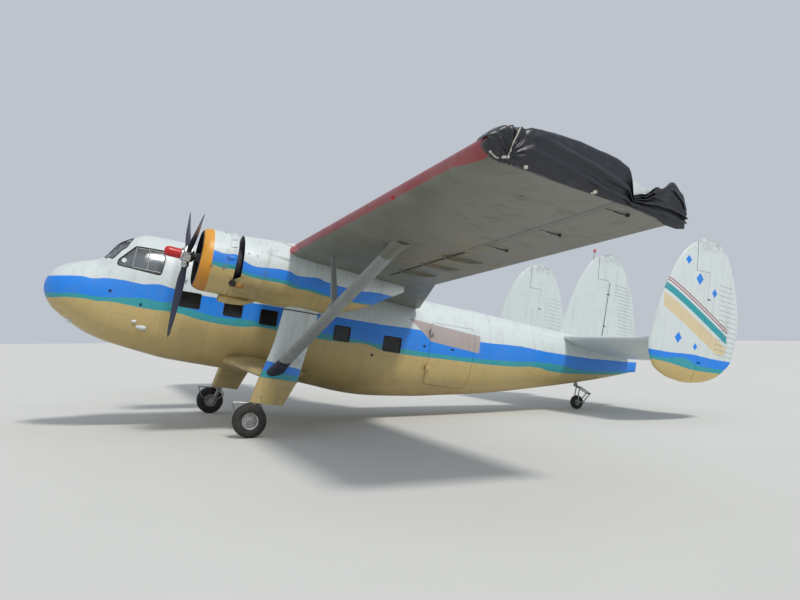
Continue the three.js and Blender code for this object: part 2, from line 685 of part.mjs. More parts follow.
function bladeBody() {
  // distance from the hub, chord, thickness, pitch from the disc in degrees
  const table = [
    [90, 105, 100, 45],
    [230, 110, 85, 45],
    [430, 185, 48, 40],
    [760, 225, 32, 30],
    [1100, 205, 22, 22],
    [1380, 145, 15, 18],
    [PROPELLER.radius, 45, 7, 16],
  ];
  const rings = table.map(([out, chord, thick, pitch]) => {
    const ring = [];
    const sides = 8;
    const [c, s] = [Math.cos(rad(pitch)), Math.sin(rad(pitch))];
    for (let i = 0; i < sides; i += 1) {
      const angle = (2 * Math.PI * i) / sides;
      const u = (chord / 2) * Math.cos(angle);
      const w = (thick / 2) * Math.sin(angle);
      ring.push(vec(u * c - w * s, u * s + w * c, -out));
    }
    return ring;
  });
  return loft(rings);
}

function onDisc(geometry, angle) {
  geometry.rotateY(-angle);
  geometry.rotateX(-rad(ENGINE.tilt));
  geometry.translate(hubCentre.x, hubCentre.y, hubCentre.z);
  return solid(geometry);
}

function buildPropeller() {
  const hub = turned([
    [-400, 0], [-396, 45], [-370, 78], [-320, 90], [-75, 90], [-60, 130], [60, 130], [120, 90], [120, 0],
  ], 14, hubCentre, thrust);
  const blades = [];
  for (let i = 0; i < PROPELLER.blades; i += 1) {
    const angle = rad(PROPELLER.phase + (360 * i) / PROPELLER.blades);
    blades.push(onDisc(geometryOf(bladeBody()), angle));
  }
  return joinAll(hub, ...blades);
}

function buildEngines() {
  const { outer, skin, front, rear, sides } = COWL;
  const [lip, tail] = [front - ENGINE.hub, rear - ENGINE.hub];
  const cowl = turned([
    [lip, outer - 95], [lip + 14, outer - 60], [lip + 70, outer - 18], [lip + 170, outer],
    [tail, outer - 6], [tail, outer - 18], [tail - 60, outer - skin], [lip + 200, outer - skin],
    [lip + 60, outer - 80], [lip, outer - 95],
  ], sides, hubCentre, thrust);

  // Engine: crankcase, shaft housing and nine cylinders whose heads carry the cowl
  const firewall = NACELLE[0][0] - ENGINE.hub;
  const crankcase = turned([
    [120 + SEAT, 0], [120 + SEAT, 60], [240, 95], [400, 215], [700, 215], [760, 330],
    [firewall - 45, 330], [firewall - 45, 0],
  ], 14, hubCentre, thrust, Math.PI / 14);
  const headHalf = 75;
  const inner = (outer - skin) * Math.cos(Math.PI / sides) - SEAT;
  const headTop = Math.sqrt(inner ** 2 - headHalf ** 2);
  const heads = [];
  for (let i = 0; i < ENGINE.cylinders; i += 1) {
    const angle = (2 * Math.PI * i) / ENGINE.cylinders;
    const barrel = new THREE.CylinderGeometry(80, 74, 250, 8).rotateY(Math.PI / 8).rotateX(Math.PI / 2);
    const head = block(-headHalf, headHalf, 465, 655, -headTop, -400);
    heads.push(onDisc(geometryOf(solid(barrel.translate(0, 560, -310)).add(head)), angle));
  }
  const mountHeight = ENGINE.height - Math.tan(rad(ENGINE.tilt)) * firewall;
  const backing = block(
    ENGINE.side - 180, ENGINE.side + 180, 3200, NACELLE[0][0] - SEAT, mountHeight - 180, mountHeight + 180,
  );
  const engine = joinAll(crankcase, ...heads, backing);

  const wing = wingBody([ROOT_FILLET.half, CENTRE_HALF], SEAT);
  const neck = block(ENGINE.side - 60, ENGINE.side + 60, 3320, 3500, 160, 320);
  const plug = [[lip, 0], [lip, outer + SEAT], [tail, outer + SEAT], [tail, 0]];
  const cowlSolid = turned(plug, sides, hubCentre, thrust);
  const nacelle = cutAll(joinAll(nacelleBody(0), ovalBody(DUCT, 12), neck), wing, cowlSolid);

  const propeller = buildPropeller();
  for (const [side, place] of [['port', (b) => b], ['starboard', sideways]]) {
    add(`cowl_${side}`, place(cowl), 'yellow');
    add(`engine_${side}`, place(engine), 'metal');
    add(`nacelle_${side}`, side === 'port' ? nacelle : mirrored(nacelle), 'white');
    const turning = add(`propeller_${side}`, place(propeller), 'dark');
    pivot(`propeller_${side}`, [turning], onThrust(0), onThrust(100), side);
  }
}

// The starboard engine and propeller are the same hand as the port ones, so they are shifted over.
function sideways(body) {
  const geometry = geometryOf(body);
  geometry.translate(-2 * ENGINE.side, 0, 0);
  return solid(geometry);
}

// Main gear and its stub wings and struts
function columnRing(height, lead, trail, thick, side, grow) {
  const ring = [];
  const shape = [[0, 0], [0.04, 0.28], [0.14, 0.42], [0.3, 0.5], [0.55, 0.44], [0.8, 0.24], [1, 0.03]];
  const chord = trail - lead + 2 * grow;
  const row = ([t, w], sign) => vec(side + sign * (w * thick + grow), lead - grow + t * chord, height);
  ring.push(row(shape[0], 0));
  for (const point of shape.slice(1)) {
    ring.push(row(point, 1));
  }
  for (const point of shape.slice(1).toReversed()) {
    ring.push(row(point, -1));
  }
  return ring;
}

function column(rows, grow) {
  const middle = (rows[0][0] + rows.at(-1)[0]) / 2;
  return loft(rows.map(([height, lead, trail, thick]) => (
    columnRing(height + grow * Math.sign(height - middle), lead, trail, thick, LEG_SIDE, grow))));
}

// A streamlined tube between two points, its broad side along the flight direction.
function strut(from, to, chord, thickness) {
  const along = to.clone().sub(from).normalize();
  const aft = vec(0, 1, 0).addScaledVector(along, -along.y).normalize();
  const across = along.clone().cross(aft).normalize();
  const outline = [
    [-0.4, 0], [-0.36, 0.25], [-0.25, 0.42], [-0.1, 0.5], [0.15, 0.46], [0.4, 0.26], [0.6, 0.03],
  ];
  const rings = [from, to].map((end) => {
    const point = (u, w) => {
      const spot = end.clone().addScaledVector(aft, u * chord);
      return spot.addScaledVector(across, w * thickness);
    };
    const upper = outline.map(([u, w]) => point(u, w));
    const lower = outline.slice(1).toReversed().map(([u, w]) => point(u, -w));
    return [...upper, ...lower];
  });
  return loft(rings);
}

function wheelParts({ side, station, height, radius, width, rim, sides }, bore) {
  const hub = vec(side, station, height);
  const facet = Math.cos(Math.PI / sides);
  const outer = radius / facet;
  const half = width / 2;
  const turn = Math.PI / sides + parked;
  const tyre = turned([
    [-half * 0.7, rim], [-half, rim + 0.5 * (outer - rim)], [-half * 0.74, outer - 0.09 * radius],
    [-half * 0.35, outer], [half * 0.35, outer], [half * 0.74, outer - 0.09 * radius],
    [half, rim + 0.5 * (outer - rim)], [half * 0.7, rim], [-half * 0.7, rim],
  ], sides, hub, vec(1, 0, 0), turn);
  const wheel = turned([
    [-half * 0.6, bore], [-half * 0.3, 0.6 * rim], [-half * 0.72, rim - SEAT], [half * 0.72, rim - SEAT],
    [half * 0.3, 0.6 * rim], [half * 0.6, bore], [-half * 0.6, bore],
  ], sides, hub, vec(1, 0, 0), turn);
  return { hub, tyre, wheel };
}

function buildMainGear() {
  const cabinOutside = fuselageBody(3000, 6000, -SEAT);
  const leg = column(LEG, 0).subtract(nacelleBody(SEAT)).add(column(SHOE, 0));
  const stubRing = ([x, lead, trail, height, thick]) => {
    const thickness = thick / (trail - lead);
    const options = { camber: 0.01, thickness, steps: AIRFOIL.tailSteps };
    return section(x, [lead, height + 20], [trail, height - 20], options);
  };
  const stub = cutAll(loft(STUB.map(stubRing)), cabinOutside, column(LEG, SEAT), column(SHOE, SEAT));

  const foot = vec(...STRUT.foot);
  const head = vec(...STRUT.head);
  const wing = wingBody([CENTRE_HALF, PORT_END], SEAT);
  const reach = head.clone().lerp(foot, -0.03);
  const start = foot.clone().lerp(head, -0.015);
  const lift = strut(start, reach, STRUT.chord, STRUT.thickness);
  const juryFoot = foot.clone().lerp(head, JURY.share).sub(vec(0, JURY.lead, 0));
  const jury = strut(juryFoot, vec(...JURY.head), JURY.chord, JURY.thickness);
  const braces = cutAll(lift.add(jury), wing, column(LEG, SEAT), column(SHOE, SEAT));

  const { station, height } = MAIN_WHEEL;
  const { hub, tyre, wheel } = wheelParts(MAIN_WHEEL, AXLE + 0.9);
  const kneeTop = vec(OLEO.side, station + 170, SHOE[1][0] - SEAT);
  const knee = vec(OLEO.side, station, height);
  const oleo = joinAll(
    rod(kneeTop, vec(OLEO.side, station + 60, height + 40), OLEO.radius, 16),
    rod(vec(OLEO.side - 55, station, height), vec(OLEO.side + 45, station, height), 70, 18),
    rod(knee, vec(MAIN_WHEEL.side + MAIN_WHEEL.width / 2 + 20, station, height), AXLE, 16),
  );
  const carrier = cutAll(oleo, block(0, FAR, 0, FAR, SHOE[1][0] - SEAT, FAR));
  for (const [side, place] of [['port', (b) => b], ['starboard', mirrored]]) {
    add(`leg_fairing_${side}`, place(leg), 'white');
    add(`stub_wing_${side}`, place(stub), 'sand');
    add(`lift_strut_${side}`, place(braces), 'grey');
    add(`axle_leg_${side}`, place(carrier), 'metal');
    const turning = [add(`tyre_${side}`, place(tyre), 'rubber'), add(`wheel_${side}`, place(wheel), 'metal')];
    pivot(`wheel_${side}`, turning, hub, hub.clone().add(vec(100, 0, 0)), side);
  }
}

// Tail gear. The castor turns on a plumb line.
const plumb = vec(0, -Math.sin(parked), Math.cos(parked));

function parkedAngle() {
  const rise = TAIL_WHEEL.height - MAIN_WHEEL.height;
  const run = TAIL_WHEEL.station - MAIN_WHEEL.station;
  const drop = (TAIL_WHEEL.radius - MAIN_WHEEL.radius) / Math.hypot(rise, run);
  return Math.atan2(rise, run) - Math.asin(drop);
}

function buildTailGear() {
  const { station, top, bottom, radius, crown } = CASTOR;
  const postFoot = vec(0, station, bottom);
  const postHead = postFoot.clone().addScaledVector(plumb, top - bottom);
  const coneOutside = fuselageBody(CABIN_END, TAIL_END, -SEAT);
  add('tail_leg', rod(postFoot, postHead, radius, 16).subtract(coneOutside), 'metal');

  const { hub, tyre, wheel } = wheelParts({ side: 0, ...TAIL_WHEEL }, FORK.axle + 0.9);
  const crownTop = postFoot.clone().addScaledVector(plumb, -SEAT);
  const crownFoot = crownTop.clone().addScaledVector(plumb, -crown);
  const { side, arm, axle } = FORK;
  const at = (x, [y, z]) => vec(x, y, z);
  const across = (point, reach, thick) => rod(at(-reach, point), at(reach, point), thick, 12);
  const hubPoint = [hub.y, hub.z];
  const pieces = [
    rod(crownFoot, crownTop, radius, 16),
    rod(crownFoot.clone().lerp(crownTop, 0.5), at(0, FORK.yoke), arm, 10),
    across(FORK.yoke, side + 12, arm + 2),
    rod(at(0, FORK.yoke), at(0, FORK.knee), arm + 5, 12),
    across(FORK.knee, side + 12, arm + 4),
    across(hubPoint, side + 17, axle),
  ];
  for (const x of [-side, side]) {
    pieces.push(rod(at(x, FORK.yoke), at(x, hubPoint), arm, 10));
    pieces.push(rod(at(x, FORK.knee), at(x, FORK.bend), arm - 2, 10));
    pieces.push(rod(at(x, FORK.bend), at(x, hubPoint), arm - 2, 10));
    pieces.push(rod(at(x - 17, hubPoint), at(x + 17, hubPoint), 2 * axle, 12));
    pieces.push(rod(at(x - 14, FORK.bend), at(x + 14, FORK.bend), arm, 10));
  }
  const forkMesh = add('tail_fork', joinAll(...pieces), 'metal');
  const castor = pivot('tail_castor', [forkMesh], postFoot, postHead);
  const turning = [add('tail_tyre', tyre, 'rubber'), add('tail_wheel', wheel, 'metal')];
  const spin = pivot('tail_wheel', turning, hub, hub.clone().add(vec(100, 0, 0)));
  castor.attach(spin);
}

// Tailplane, fins, elevators and rudders
function finBody(rows, x, grow = 0) {
  return loft(rows.map(([z, lead, trail], i) => {
    const end = i === rows.length - 1 || (i === 0 && z < 0);
    const chord = trail - lead;
    const thickness = end ? 40 / chord : FIN_THICKNESS * Math.min(1, 0.55 + chord / 4500);
    const flat = section(0, [lead, 0], [trail, 0], { camber: 0, thickness, grow, steps: AIRFOIL.tailSteps });
    return flat.map((p) => vec(x + p.z, p.y, z));
  }));
}

function buildFin(rows, x, rudder) {
  const whole = finBody(rows, x);
  const low = vec(x, rudder.low[0], Math.max(rudder.low[1], rudder.foot));
  const high = vec(x, ...rudder.high);
  const slope = (rudder.high[0] - rudder.low[0]) / (rudder.high[1] - rudder.low[1]);
  const lineAt = (z) => rudder.low[0] + (z - rudder.low[1]) * slope;
  const behind = (grow) => slab('x', [
    [lineAt(rudder.foot), rudder.foot - grow],
    [lineAt(rudder.hornFoot), rudder.hornFoot - grow],
    [rudder.horn - 1.5 * grow, rudder.hornFoot - grow],
    [rudder.horn - 1.5 * grow, 4000],
    [15000, 4000],
    [15000, rudder.foot - grow],
  ], x - 400, x + 400);
  const stretch = (z) => vec(x, lineAt(z), z);
  const from = stretch(Math.max(rudder.foot, rows[0][0]));
  const to = stretch(rudder.hornFoot);
  const shares = rudder.arms.map((z) => (z - from.z) / (to.z - from.z));
  const split = hinged(whole, from, to, RUDDER_NOSE, behind, shares);
  return { ...split, low, high };
}

function buildTail() {
  const cone = fuselageBody(CABIN_END, TAIL_END, -SEAT);
  const finCutter = finBody(OUTER_FIN, TAILPLANE.half, SEAT);
  const { half, root, tip, trailing, thickness } = TAILPLANE;
  const options = { camber: 0, thickness, steps: AIRFOIL.tailSteps };
  const whole = loft([[0, root], [half, tip]].map(([x, lead]) => section(x, lead, trailing, options)));
  const heightAt = (y) => root[1] + ((y - root[0]) * (trailing[1] - root[1])) / (trailing[0] - root[0]);
  const low = vec(ELEVATOR.inner, ELEVATOR.hinge, heightAt(ELEVATOR.hinge));
  const high = vec(ELEVATOR.outerFront, ELEVATOR.hinge, heightAt(ELEVATOR.hinge));
  const { inner, outerFront, outerRear, hinge } = ELEVATOR;
  const behind = (grow) => slab('z', [
    [inner - grow, hinge], [outerFront + grow, hinge], [outerRear + grow, 14000], [inner - grow, 14000],
  ], -500, 1500);
  const shares = ELEVATOR.arms.map((x) => (x - inner) / (outerFront - inner));
  const split = hinged(whole, low, high, ELEVATOR.nose, behind, shares);
  const waste = slab('z', [
    [outerFront - 20, hinge - 30],
    [half + 200, hinge - 30],
    [half + 200, 14000],
    [outerRear - 400, 14000],
  ], -500, 1500);
  const tailplane = cutAll(split.fixed, cone, finCutter, waste);
  const outer = buildFin(OUTER_FIN, half, OUTER_RUDDER);
  const centre = buildFin(CENTRE_FIN, 0, CENTRE_RUDDER);
  for (const [side, place] of [['port', (b) => b], ['starboard', mirrored]]) {
    add(`tailplane_${side}`, place(tailplane), 'white');
    pivot(`elevator_${side}`, [add(`elevator_${side}`, place(split.moving), 'white')], low, high, side);
    add(`fin_${side}`, place(outer.fixed), 'white');
    const rudder = add(`rudder_${side}`, place(outer.moving), 'white');
    pivot(`rudder_${side}`, [rudder], outer.low, outer.high, side);
  }
  const { station, foot, mast, lamp, low: lampLow, high: lampHigh } = BEACON;
  const beacon = turned([
    [0, 0], [0, mast], [lampLow, mast], [lampLow + 4, lamp], [lampHigh, lamp], [lampHigh + 30, 0],
  ], 12, vec(0, station, foot), vec(0, 0, 1));
  add('fin_centre', centre.fixed.subtract(cone).add(beacon), 'white');
  pivot('rudder_centre', [add('rudder_centre', centre.moving, 'white')], centre.low, centre.high);
}

// The blunt end of the port wing, where its tip is missing, is wrapped in a dark sheet.
function buildCover() {
  const { hemLead, hemTrail, rear, skin } = COVER;
  const outer = wingBody([hemTrail - 20, PORT_END + skin], skin).intersect(beyond(hemLead, hemTrail));
  const inner = wingBody([hemTrail - 240, PORT_END + SEAT], SEAT);
  const wingEnd = inner.subtract(beyond(PORT_END + SEAT, PORT_END_TRAIL + SEAT));
  const aft = block(9000, 12000, rear, 9000, -2000, 3000);
  const sheet = cutAll(outer, beyond(PORT_END + skin, PORT_END_TRAIL + skin), wingEnd, aft);
  add('wing_end_cover', sheet, 'cloth');
}

buildFuselage();
buildWing();
buildEngines();
buildMainGear();
buildTailGear();
buildTail();
buildCover();

// Park it: pitched onto its three wheels, and centred over the origin
airframe.rotation.x = -parked;
aircraft.updateMatrixWorld(true);
const bounds = new THREE.Box3().setFromObject(airframe, true);
airframe.position.set(-(bounds.min.x + bounds.max.x) / 2, -(bounds.min.y + bounds.max.y) / 2, -bounds.min.z);
aircraft.updateMatrixWorld(true);

export default aircraft;
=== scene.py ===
"""Looks for a twin-engined, high-winged transport aircraft, parked on its tailwheel gear."""

import json
from functools import cache, partial
from math import asin, atan2, copysign, cos, exp, hypot, pi, radians, sin, sqrt, tan

import bmesh
import bpy
from bpy.props import FloatProperty, FloatVectorProperty, PointerProperty
from mathutils import Matrix, Vector, noise


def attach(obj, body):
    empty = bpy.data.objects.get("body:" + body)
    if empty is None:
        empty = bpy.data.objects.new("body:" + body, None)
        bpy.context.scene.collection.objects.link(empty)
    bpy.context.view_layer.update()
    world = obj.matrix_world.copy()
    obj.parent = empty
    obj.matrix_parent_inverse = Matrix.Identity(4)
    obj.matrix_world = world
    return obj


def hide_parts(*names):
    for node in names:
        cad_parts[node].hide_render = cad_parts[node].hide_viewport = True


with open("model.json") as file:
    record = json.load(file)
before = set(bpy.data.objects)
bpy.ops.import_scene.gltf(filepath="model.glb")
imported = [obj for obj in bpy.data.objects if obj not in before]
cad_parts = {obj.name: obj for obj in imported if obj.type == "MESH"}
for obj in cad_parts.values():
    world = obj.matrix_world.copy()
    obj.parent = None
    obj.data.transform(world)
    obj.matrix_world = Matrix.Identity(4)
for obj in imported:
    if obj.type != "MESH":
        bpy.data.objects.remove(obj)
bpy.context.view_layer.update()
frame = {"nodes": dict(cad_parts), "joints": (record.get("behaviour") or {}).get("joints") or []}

bl_info = {
    "name": "Parked transport aircraft",
    "version": (1, 0, 0),
    "blender": (4, 5, 0),
    "location": "3D View > Sidebar > Aircraft",
    "description": "Builds the skins, finishes and small fittings of a parked transport aircraft",
    "category": "Object",
}

# Sizes in metres. The airframe is drawn level: +X to port, +Y aft of the nose tip, +Z up from it.
SIDES = ("port", "starboard")
SEAT = 0.0004
RUNNING = 0.008
WELD = 0.00002
WALL = 0.04
NOSE_END = 0.9
CAB_END = 2.2
CABIN_END = 9.35
TAIL_END = 13.69
# station aft of the nose, top, bottom, half width, height of the widest point, squareness
HULL = (
    (0.0, -0.012, -0.012, 0.0, -0.012, 2.0), (0.06, 0.215, -0.225, 0.22, -0.01, 2.0),
    (0.22, 0.405, -0.425, 0.42, -0.015, 2.05), (0.51, 0.535, -0.615, 0.605, -0.04, 2.1),
    (0.9, 0.66, -0.815, 0.735, -0.09, 2.2), (0.975, 0.69, -0.84, 0.752, -0.093, 2.25),
    (1.26, 1.05, -0.925, 0.805, -0.1, 2.4), (1.44, 1.165, -0.955, 0.822, -0.095, 2.45),
    (1.74, 1.298, -1.005, 0.845, -0.085, 2.5), (2.0, 1.302, -1.045, 0.855, -0.08, 2.5),
    (2.5, 1.292, -1.105, 0.865, -0.08, 2.5), (4.2, 1.232, -1.16, 0.87, -0.08, 2.5),
    (5.2, 1.14, -1.215, 0.87, -0.08, 2.5), (6.5, 1.055, -1.315, 0.868, -0.08, 2.45),
    (7.8, 0.985, -1.205, 0.85, -0.065, 2.35), (8.75, 0.957, -1.06, 0.81, -0.045, 2.3),
    (9.35, 0.938, -0.965, 0.775, -0.02, 2.25), (10.0, 0.902, -0.84, 0.715, 0.025, 2.2),
    (11.3, 0.832, -0.545, 0.53, 0.13, 2.1), (12.2, 0.79, -0.325, 0.37, 0.22, 2.0),
    (13.1, 0.69, -0.075, 0.205, 0.31, 2.0), (13.69, 0.52, 0.11, 0.06, 0.32, 2.0),
)
# centre aft, centre height, width, height of each cabin window
CABIN_WINDOWS = (
    (2.69, 0.1, 0.4, 0.3), (3.545, 0.06, 0.37, 0.3), (4.275, 0.0, 0.35, 0.3),
    (5.05, -0.04, 0.35, 0.3), (5.855, -0.085, 0.35, 0.31), (6.995, -0.145, 0.4, 0.32),
)
SCREEN = ((0.038, 0.99), (0.33, 1.025), (0.585, 1.15), (0.52, 1.37), (0.33, 1.465), (0.038, 1.5))
SIDE_WINDOW = ((1.245, 0.56), (1.262, 0.67), (1.545, 0.985), (2.085, 0.985), (2.11, 0.77), (2.07, 0.485))
DOOR = {"front": 7.88, "rear": 8.96, "sill": -0.88, "head": 0.47, "edge": 0.006}
DOOR_HINGE = {"x": 0.885, "y": 7.846, "heights": (-0.52, 0.25)}
FLOOR_TOP = -0.72

WING = {"edge": 4.084, "root": 1.083, "dihedral": 2.24, "incidence": 3.79, "chord": 2.87, "taper": 0.019}
AIRFOIL = {"camber": 0.035, "peak": 0.4, "thickness": 0.15}
CENTRE_HALF = 3.05
PORT_END = 10.56
PORT_END_TRAIL = 10.15
STARBOARD_TIP = 11.66
FILLET = {"half": 0.86, "trailing": (7.5, 0.722)}
FLAP = {"inner": 3.11, "outer": 6.32, "share": 0.655}
AILERON = {"inner": 6.35, "outer": 10.08, "hinge": 0.7, "arms": (7.03, 8.46, 9.88), "nose": 0.127}

HUB = Vector((2.4, 2.342, 0.794))
THRUST_TILT = 3.0
COWL = {"front": 2.52, "rear": 3.18, "outer": 0.565}
PROPELLER = {"radius": 1.5, "blades": 3, "phase": -8.6}
# station, top, bottom, half width of the nacelle
NACELLE = (
    (3.31, 1.325, 0.205, 0.525), (3.48, 1.332, 0.18, 0.535), (4.0, 1.345, 0.165, 0.525),
    (4.34, 1.355, 0.16, 0.5), (4.9, 1.28, 0.165, 0.44), (5.27, 1.205, 0.23, 0.385),
    (5.67, 1.11, 0.36, 0.3), (5.9, 1.06, 0.47, 0.24), (6.15, 1.015, 0.625, 0.16),
    (6.5, 0.96, 0.82, 0.05),
)
NACELLE_NOSE = 3.265
DUCT = (
    (2.99, 0.19, 0.078, 0.08), (3.15, 0.215, 0.055, 0.108), (3.42, 0.215, 0.068, 0.11),
    (3.64, 0.19, 0.15, 0.06),
)

LEG_SIDE = 2.43
# height, leading edge, trailing edge, thickness
LEG = ((0.33, 4.235, 4.9, 0.25), (-0.5, 4.13, 4.77, 0.24), (-1.19, 3.955, 4.665, 0.235))
SHOE = ((-1.17, 3.95, 4.668, 0.27), (-1.64, 3.84, 4.465, 0.25))
# distance out, leading edge, trailing edge, height, thickness
STUB = (
    (0.3, 3.48, 5.35, -0.96, 0.3), (0.87, 3.61, 5.21, -0.985, 0.25),
    (1.4, 3.76, 4.96, -1.06, 0.19), (2.42, 4.01, 4.68, -1.165, 0.13),
)
STRUT = {"foot": (2.54, 4.178, -1.045), "head": (5.94, 4.984, 1.143), "chord": 0.24, "thickness": 0.09}
JURY = {"head": (3.8, 4.606, 1.115), "share": 0.565, "lead": 0.07, "chord": 0.12, "thickness": 0.045}
MAIN_WHEEL = {"side": 2.52, "station": 3.88, "height": -1.97, "radius": 0.305, "width": 0.22, "rim": 0.15}
AXLE = 0.028
OLEO = {"side": 2.345, "radius": 0.048}
TAIL_WHEEL = {"side": 0.0, "station": 12.29, "height": -0.8, "radius": 0.165, "width": 0.11, "rim": 0.07}
CASTOR = {"station": 12.2, "top": -0.25, "bottom": -0.385, "radius": 0.048, "crown": 0.035}
FORK = {"side": 0.078, "yoke": (12.285, -0.43), "knee": (12.59, -0.55), "bend": (12.43, -0.77),
        "axle": 0.012}

TAILPLANE = {"half": 3.47, "root": (11.5, 0.69), "tip": (11.6, 0.69), "trailing": (13.57, 0.44)}
TAILPLANE_THICKNESS = 0.11
ELEVATOR = {"hinge": 12.75, "inner": 0.31, "outer_front": 3.33, "outer_rear": 2.95,
            "arms": (0.9, 2.5), "nose": 0.088}
# height, leading edge, trailing edge
OUTER_FIN = (
    (-0.092, 12.42, 12.64), (-0.03, 12.06, 13.0), (0.18, 11.69, 13.43), (0.6, 11.545, 13.74),
    (1.2, 11.63, 13.79), (1.9, 11.835, 13.655), (2.55, 12.13, 13.42), (2.88, 12.47, 13.16),
    (3.0, 12.72, 12.93),
)
CENTRE_FIN = (
    (0.5, 11.5, 13.69), (0.9, 11.56, 13.75), (1.7, 11.77, 13.62), (2.35, 12.01, 13.38),
    (2.8, 12.33, 13.1), (2.985, 12.7, 12.85),
)
FIN_THICKNESS = 0.085
OUTER_RUDDER = {"low": (12.78, 0.0), "high": (12.96, 2.26), "horn": 12.525, "horn_foot": 2.275,
                "foot": -0.2, "arms": (0.35, 1.7)}
CENTRE_RUDDER = {"low": (12.76, 0.9), "high": (12.84, 2.28), "horn": 12.455, "horn_foot": 2.3,
                 "foot": 0.875, "arms": (1.15, 1.95)}
RUDDER_NOSE = 0.08

# Camera in the parked frame, from the photo's perspective
CAMERA_PLACE = (17.983, -6.143, 1.878)
CAMERA_YAW = 20.855
CAMERA_PITCH = 2.268
CAMERA_ROLL = -0.234
CAMERA_LENS = 37.18


# Where the level airframe stands in the parked frame
def joint(name):
    return next(j for j in frame["joints"] if j["name"] == name)


DOOR_AXIS = joint("cabin_door")["axis"]
PARKED = atan2(-DOOR_AXIS[1], -DOOR_AXIS[2])
LEAN = Matrix.Rotation(-PARKED, 4, "X")
LEVEL_TO_ROW = Matrix.Translation(Vector(joint("propeller_port")["pos_m"]) - LEAN @ HUB) @ LEAN
ROW_TO_LEVEL = LEVEL_TO_ROW.inverted()


# Shapes
def closed_up(bm):
    """Welds a mesh, fills its open ends and turns its faces outwards."""
    bmesh.ops.remove_doubles(bm, verts=bm.verts, dist=WELD)
    rims = [edge for edge in bm.edges if edge.is_boundary]
    if rims:
        bmesh.ops.holes_fill(bm, edges=rims, sides=0)
    bmesh.ops.recalc_face_normals(bm, faces=bm.faces)
    return bm


def loft(rings):
    """A grid bent through rings of equally many points, with its ends filled."""
    around = len(rings[0])
    along = len(rings) - 1
    bm = bmesh.new()
    bmesh.ops.create_grid(bm, x_segments=around, y_segments=along, size=0.5)
    for vert in bm.verts:
        i = round((vert.co.x + 0.5) * around) % around
        j = round((vert.co.y + 0.5) * along)
        vert.co = rings[j][i]
    return closed_up(bm)


def prism(axis, outline, low, high):
    """A flat outline pushed along X, its points (y, z), or along Z, its points (x, y)."""
    def place(u, v, w):
        return Vector((w, u, v)) if axis == "X" else Vector((u, v, w))
    bm = bmesh.new()
    face = bm.faces.new([bm.verts.new(place(u, v, low)) for u, v in outline])
    pushed = bmesh.ops.extrude_face_region(bm, geom=[face])["geom"]
    ends = [item for item in pushed if isinstance(item, bmesh.types.BMVert)]
    bmesh.ops.translate(bm, verts=ends, vec=place(0, 0, high - low))
    return closed_up(bm)


def angles(count):
    """Evenly spaced angles round a circle."""
    return [2 * pi * k / count for k in range(count)]


def lean_to(direction):
    return Vector((0, 0, 1)).rotation_difference(Vector(direction)).to_matrix().to_4x4()


def placed(bm, matrix):
    """A mesh that is being built, moved by a matrix."""
    bmesh.ops.transform(bm, matrix=matrix, verts=bm.verts)
    return bm


def turned(profile, centre, direction, steps=48):
    """A profile of (distance along, radius) points spun once round a direction."""
    bm = bmesh.new()
    verts = [bm.verts.new((radius, 0, along)) for along, radius in profile]
    edges = [bm.edges.new(pair) for pair in zip(verts, verts[1:])]
    bmesh.ops.spin(bm, geom=verts + edges, cent=(0, 0, 0), axis=(0, 0, 1), angle=2 * pi,
                   steps=steps, use_merge=True)
    return closed_up(placed(bm, Matrix.Translation(centre) @ lean_to(direction)))


def rod(low, high, radius, sides=16, end_radius=None):
    """A round bar between two points."""
    low, high = Vector(low), Vector(high)
    bm = bmesh.new()
    bmesh.ops.create_cone(bm, cap_ends=True, segments=sides, radius1=radius, depth=(high - low).length,
                          radius2=radius if end_radius is None else end_radius)
    return placed(bm, Matrix.Translation((low + high) / 2) @ lean_to(high - low))


def block(low, high, bevel=0.0):
    """A box between two corners, its edges rounded if a bevel is given."""
    low, high = Vector(low), Vector(high)
    bm = bmesh.new()
    bmesh.ops.create_cube(bm, size=1)
    bmesh.ops.scale(bm, vec=high - low, verts=bm.verts)
    bmesh.ops.translate(bm, vec=(low + high) / 2, verts=bm.verts)
    if bevel:
        bmesh.ops.bevel(bm, geom=bm.edges[:], offset=bevel, segments=2, profile=0.5, affect="EDGES",
            material=-1)
    return bm


def tube(points, radius, sides=10, loop=False):
    """A round bar along a path; radius is a number, or one for each point."""
    points = [Vector(point) for point in points]
    count = len(points)
    radii = radius if hasattr(radius, "__len__") else [radius] * count
    side = None
    rings = []
    for i, point in enumerate(points):
        ahead = points[(i + 1) % count if loop else min(i + 1, count - 1)]
        behind = points[i - 1 if loop else max(i - 1, 0)]
        along = (ahead - behind).normalized()
        if side is None:
            side = along.orthogonal()
        side = (side - along * side.dot(along)).normalized()
        other = along.cross(side)
        rings.append([point + radii[i] * (side * cos(turn) + other * sin(turn))
                      for turn in angles(sides)])
    if loop:
        rings.append(rings[0])
    return loft(rings)


def merged(*parts):
    """Several meshes as one."""
    whole = bmesh.new()
    for part in parts:
        spare = bpy.data.meshes.new("spare")
        part.to_mesh(spare)
        part.free()
        whole.from_mesh(spare)
        bpy.data.meshes.remove(spare)
    return whole


def rounded(outline, radius, steps=5):
    """An outline with each corner turned to an arc."""
    points = []
    count = len(outline)
    for i, corner in enumerate(outline):
        here = Vector(corner)
        back = Vector(outline[i - 1]) - here
        ahead = Vector(outline[(i + 1) % count]) - here
        reach = min(radius / tan(back.angle(ahead) / 2), 0.45 * back.length, 0.45 * ahead.length)
        first = here + back.normalized() * reach
        last = here + ahead.normalized() * reach
        for k in range(steps + 1):
            t = k / steps
            points.append(first * (1 - t) ** 2 + here * 2 * t * (1 - t) + last * t * t)
    return points


def rectangle(u, v, width, height):
    return [(u + a * width / 2, v + b * height / 2) for a, b in ((1, 1), (-1, 1), (-1, -1), (1, -1))]


